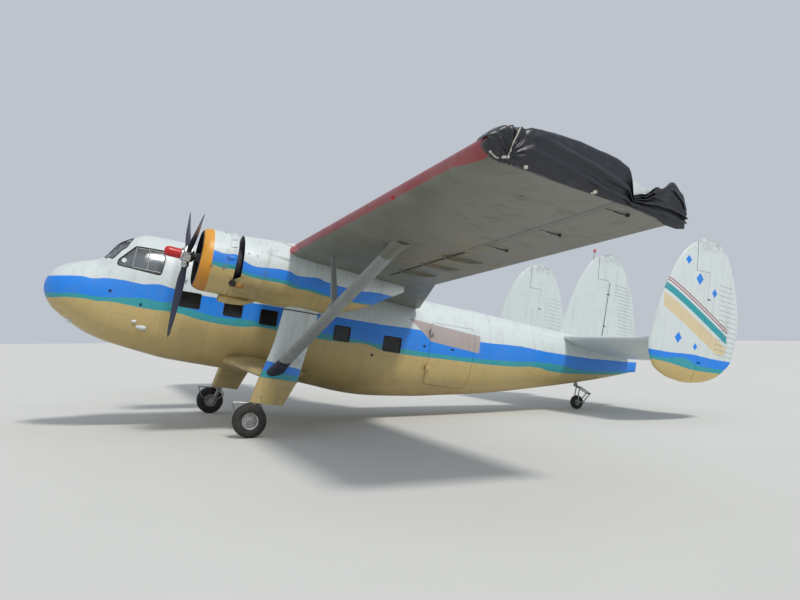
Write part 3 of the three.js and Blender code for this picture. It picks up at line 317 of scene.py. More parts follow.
def scaled(outline, by):
    """An outline moved out (or in) by about a distance."""
    middle = sum((Vector(p) for p in outline), Vector((0, 0))) / len(outline)
    return [Vector(p) + (Vector(p) - middle).normalized() * by for p in outline]


def to_object(bm, name="shape"):
    mesh = bpy.data.meshes.new(name)
    bm.to_mesh(mesh)
    bm.free()
    obj = bpy.data.objects.new(name, mesh)
    bpy.context.scene.collection.objects.link(obj)
    return obj


def settle(obj):
    """Puts the result of an object's modifiers in its mesh."""
    evaluated = obj.evaluated_get(bpy.context.evaluated_depsgraph_get())
    mesh = bpy.data.meshes.new_from_object(evaluated)
    obj.modifiers.clear()
    spent = obj.data
    obj.data = mesh
    bpy.data.meshes.remove(spent)
    return obj


def combine(base, operation, *others):
    """Cuts, joins or intersects an object with meshes that are used up."""
    base = as_object(base)
    tools = [other if isinstance(other, bpy.types.Object) else to_object(other, "tool") for other in others]
    for tool in tools:
        modifier = base.modifiers.new("combine", "BOOLEAN")
        modifier.operation = operation
        modifier.solver = "EXACT"
        modifier.object = tool
    settle(base)
    for tool in tools:
        bpy.data.objects.remove(tool)
    return base


def duplicate(obj):
    twin = bpy.data.objects.new(obj.name, obj.data.copy())
    bpy.context.scene.collection.objects.link(twin)
    return twin


def mirrored(obj):
    """A copy of a level piece on the other side."""
    twin = duplicate(obj)
    twin.data.transform(Matrix.Scale(-1, 4, (1, 0, 0)))
    twin.data.flip_normals()
    return twin


def shifted(obj, across):
    twin = duplicate(obj)
    twin.data.transform(Matrix.Translation((across, 0, 0)))
    return twin


def as_object(shape):
    """An object from an object, a mesh that is being built, or a list of such meshes."""
    if isinstance(shape, (list, tuple)):
        shape = merged(*shape)
    return to_object(shape) if isinstance(shape, bmesh.types.BMesh) else shape


def finish_piece(shape, name, materials, body="root", replaces=(), sharp=32, pick=None):
    """Names a level piece, sets it in the parked frame, finishes it and hands it to its body."""
    obj = as_object(shape)
    obj.name = name
    obj.data.name = name
    obj.data.materials.clear()
    for material in materials if isinstance(materials, (list, tuple)) else [materials]:
        obj.data.materials.append(material)
    for face in obj.data.polygons:
        face.material_index = pick(face.center) if pick else 0
    obj.data.transform(LEVEL_TO_ROW)
    obj.data.shade_smooth()
    obj.data.set_sharp_from_angle(angle=radians(sharp))
    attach(obj, body)
    if replaces:
        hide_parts(*replaces)
    return obj


def both(shape, stem, materials, node=None, body=None, sharp=32, pick=None,
        twin=mirrored):
    """Finishes a port piece and its twin on the other side; returns the two."""
    obj = as_object(shape)
    return [finish_piece(piece, f"{stem}_{side}", materials, f"{body}_{side}" if body else "root",
                         [f"{node}_{side}"] if node else (), sharp, pick)
            for side, piece in zip(SIDES, (obj, twin(obj)))]


def turning_alike(obj):
    """The same piece on the starboard engine, not mirrored."""
    return shifted(obj, -2 * HUB.x)


# Fuselage form
def eased(table, column, at, spread=lambda v: v):
    """A column of a table between its rows, smooth and never past a row's value."""
    keys = [spread(row[0]) for row in table]
    values = [row[column] for row in table]
    at = min(max(spread(at), keys[0]), keys[-1])
    i = min(max(next((k for k, key in enumerate(keys) if key > at), len(keys)) - 1, 0), len(keys) - 2)

    def slope(k):
        if k in (0, len(keys) - 1):
            k0 = min(k, len(keys) - 2)
            return (values[k0 + 1] - values[k0]) / (keys[k0 + 1] - keys[k0])
        before = (values[k] - values[k - 1]) / (keys[k] - keys[k - 1])
        after = (values[k + 1] - values[k]) / (keys[k + 1] - keys[k])
        return 0 if before * after <= 0 else 2 * before * after / (before + after)
    width = keys[i + 1] - keys[i]
    t = (at - keys[i]) / width
    return ((2 * t ** 3 - 3 * t ** 2 + 1) * values[i] + (t ** 3 - 2 * t ** 2 + t) * width * slope(i)
            + (3 * t ** 2 - 2 * t ** 3) * values[i + 1] + (t ** 3 - t ** 2) * width * slope(i + 1))


def sized(table, at):
    """Every column of a table at a place between its rows."""
    return [eased(table, column, at) for column in range(1, len(table[0]))]


@cache
def hull_row(y):
    """Top, bottom, half width, middle height and squareness of the hull at a station."""
    return tuple(eased(HULL, column, y, lambda v: sqrt(max(v, 0))) for column in range(1, 6))


def hull_point(turn, y, inset=0.0):
    top, bottom, half, middle, square = hull_row(y)
    c, s = cos(turn), sin(turn)
    reach = max((top - middle if s > 0 else middle - bottom) - inset, 0.001)
    x = max(half - inset, 0.001) * copysign(abs(c) ** (2 / square), c)
    return Vector((x, y, middle + reach * copysign(abs(s) ** (2 / square), s)))


def hull_side(y, z, out=0.0):
    """The port skin at a station and height."""
    top, bottom, half, middle, square = hull_row(y)
    reach = top - middle if z > middle else middle - bottom
    share = min(abs(z - middle) / reach, 1)
    return Vector((half * (1 - share ** square) ** (1 / square) + out, y, z))


def hull_top(x, y, out=0.0):
    top, bottom, half, middle, square = hull_row(y)
    share = min(abs(x) / half, 1)
    return Vector((x, y, middle + (top - middle) * (1 - share ** square) ** (1 / square) + out))


def depth_in_hull(point):
    """How far a point lies inside the skin, as a share of the section."""
    top, bottom, half, middle, square = hull_row(point.y)
    reach = top - middle if point.z > middle else middle - bottom
    share = (abs(point.x) / half) ** square + (abs(point.z - middle) / reach) ** square
    return 1 - share ** (1 / square)


def hull_loft(start, end, inset=0.0, step=0.12, around=96):
    count = max(int((end - start) / step), 2)
    if start < 0.01:
        stations = [end * (k / (2 * count)) ** 2 for k in range(2 * count + 1)]
    else:
        stations = [start + (end - start) * k / count for k in range(count + 1)]
    return loft([[hull_point(turn, y, inset) for turn in angles(around)] for y in stations])


def hull_wall(start, end, outer=0.0, inner=WALL):
    return combine(hull_loft(start, end, outer), "DIFFERENCE",
                   hull_loft(start - 0.1, end + 0.1, inner))


# Wing form
def wing_line(x):
    """Leading and trailing points (y, z) of the wing's section at a distance out."""
    out = abs(x)
    chord = WING["chord"] - WING["taper"] * out
    lean = radians(WING["incidence"])
    lead = Vector((WING["edge"], WING["root"] + tan(radians(WING["dihedral"])) * out))
    if out >= CENTRE_HALF:
        return lead, lead + chord * Vector((cos(lean), -sin(lean)))
    plain = wing_line(CENTRE_HALF)[1]
    share = min(max((out - FILLET["half"]) / (CENTRE_HALF - FILLET["half"]), 0), 1)
    return lead, Vector(FILLET["trailing"]).lerp(plain, share)


def camber_at(t, camber):
    """How far a section's middle line stands above its chord, as a share of it."""
    peak = AIRFOIL["peak"]
    if t < peak:
        return camber / peak ** 2 * (2 * peak * t - t * t)
    return camber / (1 - peak) ** 2 * (1 - 2 * peak + 2 * peak * t - t * t)


def half_thickness(t, thickness):
    """Half the depth of a section at a share of its chord, as a share of the chord."""
    root = 0.2969 * sqrt(t)
    return 5 * thickness * (root - 0.126 * t - 0.3516 * t ** 2 + 0.2843 * t ** 3 - 0.1015 * t ** 4)


def section(x, lead, trail, camber, thickness, grow=0.0, steps=26):
    """A closed section from a leading to a trailing point (y, z)."""
    lead, trail = Vector(lead), Vector(trail)
    chord = (trail - lead).length
    along = (trail - lead) / chord

    def at(t, side):
        up = chord * camber_at(t, camber) + side * (chord * half_thickness(t, thickness) + grow)
        u = t * chord + grow * (2 * t - 1)
        return Vector((x, lead.x + along.x * u - along.y * up, lead.y + along.y * u + along.x * up))
    upper = [at((1 + cos(pi * i / steps)) / 2, 1) for i in range(steps)]
    lower = [at((1 - cos(pi * i / steps)) / 2, -1) for i in range(1, steps + 1)]
    return upper + [at(0, 0)] + lower


def wing_ring(x, grow=0.0):
    lead, trail = wing_line(x)
    plain = WING["chord"] - WING["taper"] * abs(x)
    thickness = AIRFOIL["thickness"] * plain / (trail - lead).length
    return section(x, lead, trail, AIRFOIL["camber"], thickness, grow)


def wing_loft(stations, grow=0.0):
    return loft([wing_ring(x, grow) for x in stations])


def wing_point(x, share, side=0.0, out=0.0):
    """A point of the wing at a share of its chord: side 1 is the upper skin, -1 the lower."""
    lead, trail = wing_line(x)
    chord = WING["chord"] - WING["taper"] * abs(x)
    spot = lead.lerp(trail, share)
    lean = radians(WING["incidence"])
    up = camber_at(share, AIRFOIL["camber"]) + side * half_thickness(share, AIRFOIL["thickness"])
    up = chord * up + side * out
    return Vector((x, spot.x + up * sin(lean), spot.y + up * cos(lean)))


def span_block(inner, outer, share, grow=0.0):
    """Everything behind a share of the chord between two stations."""
    def front(x):
        lead, trail = wing_line(x)
        return lead.lerp(trail, share).x - grow
    return prism("Z", [(inner - grow, front(inner)), (outer + grow, front(outer)), (outer + grow, 9.0),
                       (inner - grow, 9.0)], 0.0, 3.0)


# Hinged surfaces: a round nose in a cove, hung on arms with round eyes
PIN = 0.009
EYE = 0.024
ARM = 0.016


def arm_shape(reach):
    """A hinge arm with its round eye at the origin."""
    eye = [(EYE * cos(a), EYE * sin(a)) for a in (radians(-90 + 15 * i) for i in range(13))]
    return prism("Z", [(-reach, -EYE), *eye, (-reach, EYE)], -ARM / 2, ARM / 2)


def hinged(whole, low, high, nose, behind, arm_shares):
    """Splits a surface into what moves and what stays."""
    direction = (high - low).normalized()
    aft = (Vector((0, 1, 0)) - direction * direction.y).normalized()
    up = direction.cross(aft)
    basis = Matrix((aft, up, aft.cross(up))).transposed().to_4x4()
    cove = rod(low - direction * RUNNING, high + direction * RUNNING, nose + RUNNING + 0.002, 40)
    roll = combine(behind(0), "UNION", rod(low, high, nose, 40))
    moving = combine(duplicate(whole), "INTERSECT", roll)
    fixed = combine(whole, "DIFFERENCE", behind(RUNNING), cove)
    half = ARM / 2 + RUNNING
    for share in arm_shares:
        at = Matrix.Translation(low.lerp(high, share)) @ basis
        slot = block((-nose - 0.04, -2 * nose, -half), (EYE + RUNNING + 0.004, 2 * nose, half))
        moving = combine(moving, "DIFFERENCE", placed(slot, at))
        pin = rod((0, 0, -half - 0.012), (0, 0, half + 0.012), PIN, 16)
        moving = combine(moving, "UNION", placed(pin, at))
        hole = placed(rod((0, 0, -ARM), (0, 0, ARM), PIN + 0.0006, 16), at)
        arm = to_object(placed(arm_shape(nose + RUNNING + 0.026), at))
        fixed = combine(fixed, "UNION", combine(arm, "DIFFERENCE", hole))
    return moving, fixed


# Shader helpers
class Shade:
    """Adds shader nodes to one tree and joins them."""

    def __init__(self, tree):
        self.tree = tree

    def add(self, kind, inputs=None, **settings):
        node = self.tree.nodes.new("ShaderNode" + kind)
        for name, value in settings.items():
            setattr(node, name, value)
        for key, value in (inputs or {}).items():
            self.feed(node.inputs[key], value)
        return node

    def feed(self, socket, value):
        if isinstance(value, bpy.types.NodeSocket):
            self.tree.links.new(value, socket)
        else:
            socket.default_value = value

    def math(self, operation, a, b=0.0, c=0.0):
        return self.add("Math", {0: a, 1: b, 2: c}, operation=operation).outputs[0]

    def times(self, a, b):
        return self.math("MULTIPLY", a, b)

    def plus(self, a, b):
        return self.math("ADD", a, b)

    def less(self, a, b):
        return self.math("SUBTRACT", a, b)

    def ramp(self, value, low, high, start=0.0, end=1.0):
        node = self.add("MapRange", {"Value": value, "From Min": low, "From Max": high, "To Min": start,
                                     "To Max": end}, clamp=True)
        return node.outputs["Result"]

    def mix(self, share, first, second, blend="MIX"):
        node = self.add("Mix", {0: share, 6: first, 7: second}, data_type="RGBA", blend_type=blend)
        return node.outputs[2]

    def level(self):
        """The point in the level airframe."""
        place = self.add("TexCoord").outputs["Object"]
        shift = ROW_TO_LEVEL.translation
        return self.add("Mapping", {"Vector": place, "Location": shift, "Rotation": (PARKED, 0, 0)},
                        vector_type="POINT").outputs[0]

    def axes(self):
        """How far out, aft and up the point lies, as three values."""
        return self.add("SeparateXYZ", {0: self.level()}).outputs[:]

    def noise(self, where, scale, detail=4.0, rough=0.55, stretch=(1, 1, 1)):
        if tuple(stretch) != (1, 1, 1):
            where = self.add("Mapping", {"Vector": where, "Scale": stretch}).outputs[0]
        node = self.add("TexNoise", {"Vector": where, "Scale": scale, "Detail": detail, "Roughness": rough})
        return node.outputs["Fac"]

    def coat(self, shader, colour, roughness):
        self.feed(shader.inputs["Base Color"], colour)
        self.feed(shader.inputs["Roughness"], roughness)

    def relief(self, shader, height, strength, distance):
        """Lets a height raise the surface."""
        bump = self.add("Bump", {"Strength": strength, "Distance": distance, "Height": height})
        self.feed(shader.inputs["Normal"], bump.outputs[0])

    def group(self, tree, inputs):
        node = self.tree.nodes.new("ShaderNodeGroup")
        node.node_tree = tree
        for key, value in inputs.items():
            self.feed(node.inputs[key], value)
        return node


def new_group(name, inputs, outputs):
    """An empty node group with its sockets; returns its tools, its inputs and its output node."""
    kinds = {"colour": "NodeSocketColor", "number": "NodeSocketFloat"}
    tree = bpy.data.node_groups.new(name, "ShaderNodeTree")
    for label, kind, default in inputs:
        socket = tree.interface.new_socket(label, in_out="INPUT", socket_type=kinds[kind])
        socket.default_value = default
    for label, kind in outputs:
        tree.interface.new_socket(label, in_out="OUTPUT", socket_type=kinds[kind])
    taken = tree.nodes.new("NodeGroupInput")
    given = tree.nodes.new("NodeGroupOutput")
    return Shade(tree), taken.outputs, given.inputs


def new_material(name, **sockets):
    """A material with its Principled shader; sockets sets the shader's plain values."""
    material = bpy.data.materials.new(name)
    material.use_nodes = True
    shade = Shade(material.node_tree)
    shader = next(n for n in material.node_tree.nodes if n.type == "BSDF_PRINCIPLED")
    for key, value in sockets.items():
        shader.inputs[key.replace("_", " ")].default_value = value
    return material, shade, shader


def look():
    return bpy.context.scene.aircraft_look


# Node groups that several finishes share
@cache
def ageing_group():
    """Fading, run marks, grime and specks on paint that has stood outdoors."""
    shade, taken, given = new_group("aged_paint", (
        ("Color", "colour", (0.8, 0.8, 0.8, 1)), ("Fade", "number", 0.2), ("Runs", "number", 0.2),
        ("Grime", "number", 0.2)), (("Color", "colour"), ("Roughness", "number"), ("Height", "number")))
    place = shade.level()
    broad = shade.ramp(shade.noise(place, 0.8, 6, 0.62), 0.35, 0.72)
    patch = shade.ramp(shade.noise(place, 3.1, 8, 0.66), 0.52, 0.74)
    runs = shade.ramp(shade.noise(place, 2.2, 5, 0.6, (5.0, 5.0, 0.32)), 0.52, 0.8)
    speck = shade.ramp(shade.noise(place, 46.0, 3, 0.6), 0.66, 0.74)
    colour = shade.mix(shade.times(broad, taken["Fade"]), taken["Color"], (0.62, 0.66, 0.66, 1))
    colour = shade.mix(shade.times(runs, taken["Runs"]), colour, (0.19, 0.16, 0.11, 1))
    colour = shade.mix(shade.times(patch, taken["Grime"]), colour, (0.12, 0.09, 0.05, 1))
    colour = shade.mix(shade.times(speck, taken["Grime"]), colour, (0.07, 0.06, 0.05, 1))
    fine = shade.noise(place, 120.0, 2, 0.5)
    wave = shade.noise(place, 2.6, 2, 0.5)
    height = shade.plus(shade.times(fine, 0.06), shade.times(wave, 1.0))
    rough = shade.plus(shade.times(broad, 0.16), shade.times(patch, 0.2))
    shade.feed(given["Color"], colour)
    shade.feed(given["Roughness"], shade.plus(rough, 0.34))
    shade.feed(given["Height"], height)
    return shade.tree


BAND_SPAN = 14.0
# Paint boundaries as (station aft, height) points
HULL_BANDS = (
    ((0.0, 0.16), (0.25, 0.19), (0.46, 0.22), (0.65, 0.24), (0.84, 0.226), (1.08, 0.266), (1.42, 0.277),
     (1.76, 0.26), (2.1, 0.309), (2.29, 0.275), (2.93, 0.233), (4.2, 0.25), (5.68, 0.243), (6.79, 0.242),
     (7.4, 0.26), (8.2, 0.24), (9.13, 0.22), (9.84, 0.26), (10.2, 0.275), (10.75, 0.26), (11.46, 0.261),
     (12.03, 0.272), (13.0, 0.33), (13.7, 0.38)),
    ((0.0, -0.17), (0.3, -0.14), (0.65, -0.099), (0.84, -0.113), (1.12, -0.1), (1.69, -0.02), (1.89, -0.003),
     (2.04, -0.024), (2.38, -0.012), (2.68, -0.068), (3.35, -0.143), (3.75, -0.11), (4.6, -0.13),
     (5.5, -0.14), (6.4, -0.17), (7.23, -0.2), (8.01, -0.2), (8.91, -0.17), (9.91, -0.1), (10.79, -0.013),
     (11.5, -0.001), (12.08, -0.03), (12.8, 0.04), (13.7, 0.125)),
    ((0.0, -0.26), (0.13, -0.247), (0.53, -0.193), (0.8, -0.18), (0.99, -0.194), (1.24, -0.17),
     (1.61, -0.184), (1.98, -0.199), (2.29, -0.187), (2.56, -0.195), (2.95, -0.254), (3.76, -0.263),
     (4.13, -0.208), (4.47, -0.222), (5.32, -0.265), (5.83, -0.259), (6.41, -0.226),
     (6.84, -0.305), (7.26, -0.316), (8.15, -0.29), (8.91, -0.27), (9.91, -0.22), (10.81, -0.142),
     (11.06, -0.174), (12.2, -0.11), (13.7, 0.08)),
)
ENGINE_BANDS = (
    ((2.5, 0.92), (2.72, 0.911), (2.9, 0.882), (3.14, 0.9), (3.2, 0.84), (3.3, 0.809), (3.46, 0.757),
     (3.74, 0.771), (4.06, 0.786), (4.28, 0.726), (4.62, 0.755), (4.86, 0.71), (5.04, 0.693), (5.56, 0.677),
     (5.86, 0.703), (6.6, 0.69)),
    ((2.5, 0.715), (2.92, 0.705), (3.16, 0.71), (3.3, 0.634), (3.64, 0.605), (4.1, 0.6), (4.32, 0.543),
     (4.6, 0.534), (4.9, 0.482), (5.4, 0.458), (5.86, 0.478), (6.6, 0.5)),
    ((2.5, 0.66), (2.7, 0.658), (2.92, 0.627), (3.16, 0.634), (3.3, 0.578), (3.66, 0.547), (4.02, 0.544),
     (4.28, 0.5), (4.56, 0.493), (4.82, 0.459), (5.4, 0.44), (5.86, 0.46), (6.6, 0.48)),
)
LEG_BANDS = (
    ((3.8, -0.84), (4.04, -0.859), (4.63, -0.928), (5.0, -0.95)),
    ((3.8, -1.06), (4.2, -1.04), (4.6, -1.07), (5.0, -1.06)),
    ((3.8, -1.17), (4.2, -1.165), (4.6, -1.17), (5.0, -1.17)),
)
FIN_BANDS = (
    ((11.5, 0.48), (12.0, 0.47), (12.6, 0.5), (13.2, 0.48), (13.8, 0.49)),
    ((11.5, 0.38), (11.9, 0.34), (12.38, 0.4), (12.8, 0.3), (13.33, 0.29), (13.8, 0.31)),
    ((11.5, 0.28), (11.9, 0.27), (12.27, 0.23), (12.62, 0.19), (13.34, 0.2), (13.8, 0.22)),
)


def band_group(name, boundaries):
    """Four colours one above the other, parted by wavy lines that follow the airframe aft."""
    shade, taken, given = new_group(name, (("White", "colour", (0.8, 0.8, 0.8, 1)),
        ("Azure", "colour", (0, 0.2, 0.8, 1)), ("Teal", "colour", (0, 0.3, 0.3, 1)),
        ("Sand", "colour", (0.5, 0.4, 0.2, 1))), (("Color", "colour"),))
    _, y, z = shade.axes()
    wobble = shade.times(shade.less(shade.noise(shade.level(), 7.0, 2), 0.5), 0.02)
    height = shade.plus(z, wobble)
    share = shade.math("DIVIDE", y, BAND_SPAN)
    colour = taken["Sand"]
    for line, above in zip(reversed(boundaries), ("Teal", "Azure", "White")):
        curve = shade.add("FloatCurve", {"Value": share})
        points = curve.mapping.curves[0].points
        places = [(y / BAND_SPAN, (z + 2) / 4) for y, z in line]
        points[0].location = places[0]
        points[1].location = places[-1]
        for spot in places[1:-1]:
            points.new(*spot)
        curve.mapping.update()
        edge = shade.math("MULTIPLY_ADD", curve.outputs[0], 4.0, -2.0)
        over = shade.less(height, edge)
        colour = shade.mix(shade.ramp(over, -0.004, 0.004), colour, taken[above])
    shade.feed(given["Color"], colour)
    return shade.tree


hull_bands = cache(lambda: band_group("hull_bands", HULL_BANDS))
engine_bands = cache(lambda: band_group("engine_bands", ENGINE_BANDS))
leg_bands = cache(lambda: band_group("leg_bands", LEG_BANDS))
fin_bands = cache(lambda: band_group("fin_bands", FIN_BANDS))


def solid_colour(rgb):
    return (*rgb, 1.0)


def banded(shade, tree):
    """The livery's four colours through a group of bands."""
    colours = look()
    return shade.group(tree, {"White": solid_colour(colours.white), "Azure": solid_colour(colours.azure),
        "Teal": solid_colour(colours.teal), "Sand": solid_colour(colours.sand)}).outputs[0]


def aged(shade, shader, colour, fade, runs, grime, bump=0.0012):
    """Puts a colour through the ageing group and into the shader."""
    worn = shade.group(ageing_group(), {"Color": colour, "Fade": fade, "Runs": runs, "Grime": grime})
    shade.coat(shader, worn.outputs["Color"], worn.outputs["Roughness"])
    shade.relief(shader, worn.outputs["Height"], 0.5, bump)


# station, then the low and high end of each upright line between the hull's sheets
HULL_FRAMES = (
    (0.665, 0.0, 0.5), (1.3, -0.74, -0.37), (2.1, -0.9, 0.35), (2.2, -0.76, -0.37), (3.1, -1.2, 1.3),
    (6.4, -1.3, 1.2), (7.77, -1.0, -0.25), (9.37, -1.0, 0.9), (10.6, -0.7, 0.9), (11.6, -0.5, 0.9),
)
# height, then the front and rear end of each level line
HULL_LAPS = ((-0.37, 1.3, 2.2), (-0.4, 6.4, 9.37), (0.62, 9.37, 13.0))


@cache
def hull_paint():
    material, shade, shader = new_material("hull_paint")
    x, y, z = shade.axes()
    colour = repair_patch(shade, x, y, z, banded(shade, hull_bands()))
    for station, low, high in HULL_FRAMES:
        colour = seam(shade, colour, y, station, z, low, high, 0.42)
    for height, start, end in HULL_LAPS:
        colour = seam(shade, colour, z, height, y, start, end, 0.34)
    cloud = shade.ramp(shade.noise(shade.level(), 1.2, 5), 0.2, 0.6)
    low_down = shade.times(shade.ramp(z, -0.62, -1.1), cloud)
    colour = shade.mix(shade.times(low_down, 0.55), colour, (0.16, 0.105, 0.035, 1))
    aged(shade, shader, colour, 0.05, 0.22, 0.16)
    return material


def inside(shade, value, low, high, soft=0.003):
    """1 between two values."""
    return shade.times(shade.ramp(value, low - soft, low + soft),
                      shade.ramp(value, high + soft, high - soft))


def seam(shade, colour, across, at, along, low, high, depth, rgb=(0.1, 0.08, 0.05)):
    """A dark line between sheets, where one value is at a number and another lies between two."""
    mask = shade.times(inside(shade, across, at - 0.003, at + 0.003), inside(shade, along, low, high))
    return shade.mix(shade.times(mask, depth), colour, solid_colour(rgb))


def repair_patch(shade, x, y, z, colour):
    """The pinkish-grey panel repainted on the port side of the rear cabin."""
    upper = shade.math("MULTIPLY_ADD", y, -0.079, 1.06)
    lower = shade.math("MULTIPLY_ADD", y, -0.076, 0.65)
    front = shade.plus(shade.times(shade.less(0.48, z), 1.28), 7.34)
    mask = 1.0
    for over in (shade.less(upper, z), shade.less(z, lower), shade.less(y, front)):
        mask = shade.times(mask, shade.ramp(over, -0.003, 0.003))
    mask = shade.times(mask, shade.ramp(y, 9.103, 9.097))
    mask = shade.times(mask, shade.ramp(x, 0.0, 0.1))
    return shade.mix(mask, colour, (0.4, 0.34, 0.33, 1))


@cache
def engine_paint():
    """Cowl and nacelle: an orange front ring, the bands, panel lines and soot behind the exhaust."""
    material, shade, shader = new_material("engine_paint")
    _, y, z = shade.axes()
    deep = shade.mix(shade.ramp(z, 0.75, 0.25), solid_colour(look().orange), (0.46, 0.17, 0.006, 1))
    colour = shade.mix(shade.ramp(y, 2.724, 2.718), banded(shade, engine_bands()), deep)
    soot = shade.times(shade.ramp(y, 4.6, 3.16), shade.ramp(y, 3.14, 3.2))
    soot = shade.times(inside(shade, z, 0.16, 0.44, 0.09), soot)
    soot = shade.times(soot, shade.ramp(shade.noise(shade.level(), 2.4, 6, 0.6, (1, 0.35, 2)), 0.3, 0.62))
    colour = shade.mix(shade.times(soot, 0.75), colour, (0.085, 0.05, 0.022, 1))
    slanted = shade.math("MULTIPLY_ADD", z, 0.1, 3.63)
    for across, at, high in ((shade.less(y, slanted), 0.0, 1.19), (y, 4.62, 1.4)):
        colour = seam(shade, colour, across, at, z, -0.2, high, 0.6, (0.1, 0.09, 0.07))
    aged(shade, shader, colour, 0.05, 0.3, 0.26)
    return material


@cache
def leg_paint():
    material, shade, shader = new_material("leg_paint")
    aged(shade, shader, banded(shade, leg_bands()), 0.15, 0.35, 0.35)
    return material


@cache
def wing_paint():
    """White above, the underside much darker (partly a greyer paint, partly painted shade), a red leading
    edge, sandy stains beneath the inner wing.
    """
    material, shade, shader = new_material("wing_paint")
    x, y, z = shade.axes()
    out = shade.math("ABSOLUTE", x)
    middle = shade.math("MULTIPLY_ADD", out, tan(radians(WING["dihedral"])), WING["root"])
    slope = -tan(radians(WING["incidence"]))
    middle = shade.math("MULTIPLY_ADD", shade.less(y, WING["edge"]), slope, middle)
    # The underside is painted much darker than the top: partly a greyer paint, partly painted shade.
    shaded_underside = shade.ramp(shade.less(middle, z), -0.004, 0.004)
    colour = shade.mix(shaded_underside, solid_colour(look().white), (0.135, 0.14, 0.1, 1))
    stain = shade.ramp(shade.noise(shade.level(), 1.4, 7, 0.62, (1.0, 1.6, 0.2)), 0.46, 0.62)
    zone = shade.times(inside(shade, out, 4.2, 7.6, 0.5), shade.ramp(y, 5.0, 5.8))
    colour = shade.mix(shade.times(shade.times(stain, zone), shaded_underside), colour, (0.2, 0.15, 0.07, 1))
    # Thin dark joints at 0.22 and 0.42 of the chord; the wide band at 0.652 is painted shade in the gap
    # along the flaps and ailerons.
    for share, half, depth in ((0.22, 0.002, 0.5), (0.42, 0.002, 0.5), (0.652, 0.022, 1.0)):
        start = WING["edge"] + WING["chord"] * share
        across = shade.math("MULTIPLY_ADD", out, -WING["taper"] * share, start)
        line = inside(shade, shade.less(y, across), -half, half, half)
        line = shade.times(line, shade.times(shaded_underside, shade.ramp(out, 3.1, 3.2)))
        colour = shade.mix(shade.times(line, depth), colour, (0.03, 0.03, 0.026, 1))
    edge = shade.plus(y, shade.times(shade.noise(shade.level(), 9.0, 3), 0.03))
    edge = shade.less(edge, shade.ramp(out, 9.7, 10.2, 0.0, 0.08))
    red = shade.times(shade.ramp(edge, 4.146, 4.14), shade.ramp(out, 0.9, 0.95))
    tone = shade.mix(shade.ramp(out, 3.3, 3.2), solid_colour(look().red), (0.62, 0.03, 0.05, 1))
    aged(shade, shader, shade.mix(red, colour, tone), 0.16, 0.18, 0.26)
    return material


@cache
def tail_paint():
    material, shade, shader = new_material("tail_paint")
    aged(shade, shader, tail_wear(shade, *shade.axes(), solid_colour(look().white)), 0.06, 0.2, 0.12)
    return material


def tail_wear(shade, x, y, z, colour):
    """Grimy tops on the fins, and a dark line down the centre rudder's hinge, which is painted shade in the
    gap.
    """
    cloud = shade.ramp(shade.noise(shade.level(), 9.0, 6, 0.66), 0.4, 0.62)
    top = shade.times(shade.ramp(z, 2.66, 2.92), cloud)
    colour = shade.mix(shade.times(top, 0.6), colour, (0.2, 0.21, 0.19, 1))
    # Painted shade: a dark line where the centre rudder's gap lies.
    away = shade.less(y, shade.math("MULTIPLY_ADD", z, 0.058, 12.684))
    hinge = shade.times(inside(shade, away, -0.01, 0.01, 0.006), inside(shade, z, 0.9, 2.26))
    hinge = shade.times(hinge, shade.ramp(shade.math("ABSOLUTE", x), 0.3, 0.2))
    return shade.mix(hinge, colour, (0.03, 0.04, 0.07, 1))


@cache
def fin_paint():
    """Outer fins: bands at the foot, and a plain geometric emblem of ribbons and diamonds outside."""
    material, shade, shader = new_material("fin_paint")
    x, y, z = shade.axes()
    colours = look()
    white = solid_colour(colours.white)
    colour = white
    rise = shade.plus(z, shade.math("MULTIPLY_ADD", y, 0.55, -6.96))
    for low, high, rgb in ((0.92, 1.22, (0.66, 0.55, 0.34)), (1.3, 1.46, colours.teal),
                           (1.52, 1.545, colours.red), (1.58, 1.605, colours.red)):
        ribbon = shade.times(inside(shade, rise, low, high), inside(shade, y, 11.78, 13.5))
        colour = shade.mix(ribbon, colour, solid_colour(rgb))
    for centre_y, centre_z, size in ((12.3, 2.46, 0.1), (12.62, 2.1, 0.13), (13.05, 1.86, 0.1),
            (12.2, 0.8, 0.12), (12.66, 0.67, 0.08)):
        across = shade.math("ABSOLUTE", shade.less(y, centre_y))
        span = shade.plus(shade.times(across, 1.35), shade.math("ABSOLUTE", shade.less(z, centre_z)))
        colour = shade.mix(shade.ramp(span, size + 0.003, size - 0.003), colour, solid_colour(colours.azure))
    colour = shade.mix(shade.ramp(z, 0.6, 0.599), colour, banded(shade, fin_bands()))
    side = TAILPLANE["half"]
    outer = shade.ramp(shade.math("ABSOLUTE", x), side - 0.002, side + 0.002)
    aged(shade, shader, tail_wear(shade, x, y, z, shade.mix(outer, white, colour)), 0.05, 0.2, 0.1)
    return material


@cache
def strut_paint_and_shade():
    material, shade, shader = new_material("strut_paint_and_shade")
    # The dark grey-green is partly the struts' paint and partly painted shade.
    aged(shade, shader, (0.25, 0.275, 0.265, 1), 0.25, 0.4, 0.3)
    return material


@cache
def sand_paint():
    material, shade, shader = new_material("sand_paint")
    aged(shade, shader, solid_colour(look().sand), 0.16, 0.4, 0.4)
    return material


def worn_metal(name, colour, roughness, metallic=1.0, dirt=0.4, scale=14.0):
    """Bare metal or old paint with dull patches and dirt."""
    material, shade, shader = new_material(name, Metallic=metallic)
    place = shade.level()
    cloud = shade.ramp(shade.noise(place, scale, 6, 0.6), 0.42, 0.72)
    tone = shade.mix(shade.times(cloud, dirt), (*colour, 1), (0.05, 0.04, 0.03, 1))
    shade.coat(shader, tone, shade.ramp(cloud, 0, 1, roughness, min(roughness + 0.3, 1)))
    shade.relief(shader, shade.noise(place, scale * 14, 3, 0.6), 0.35, 0.0006)
    return material


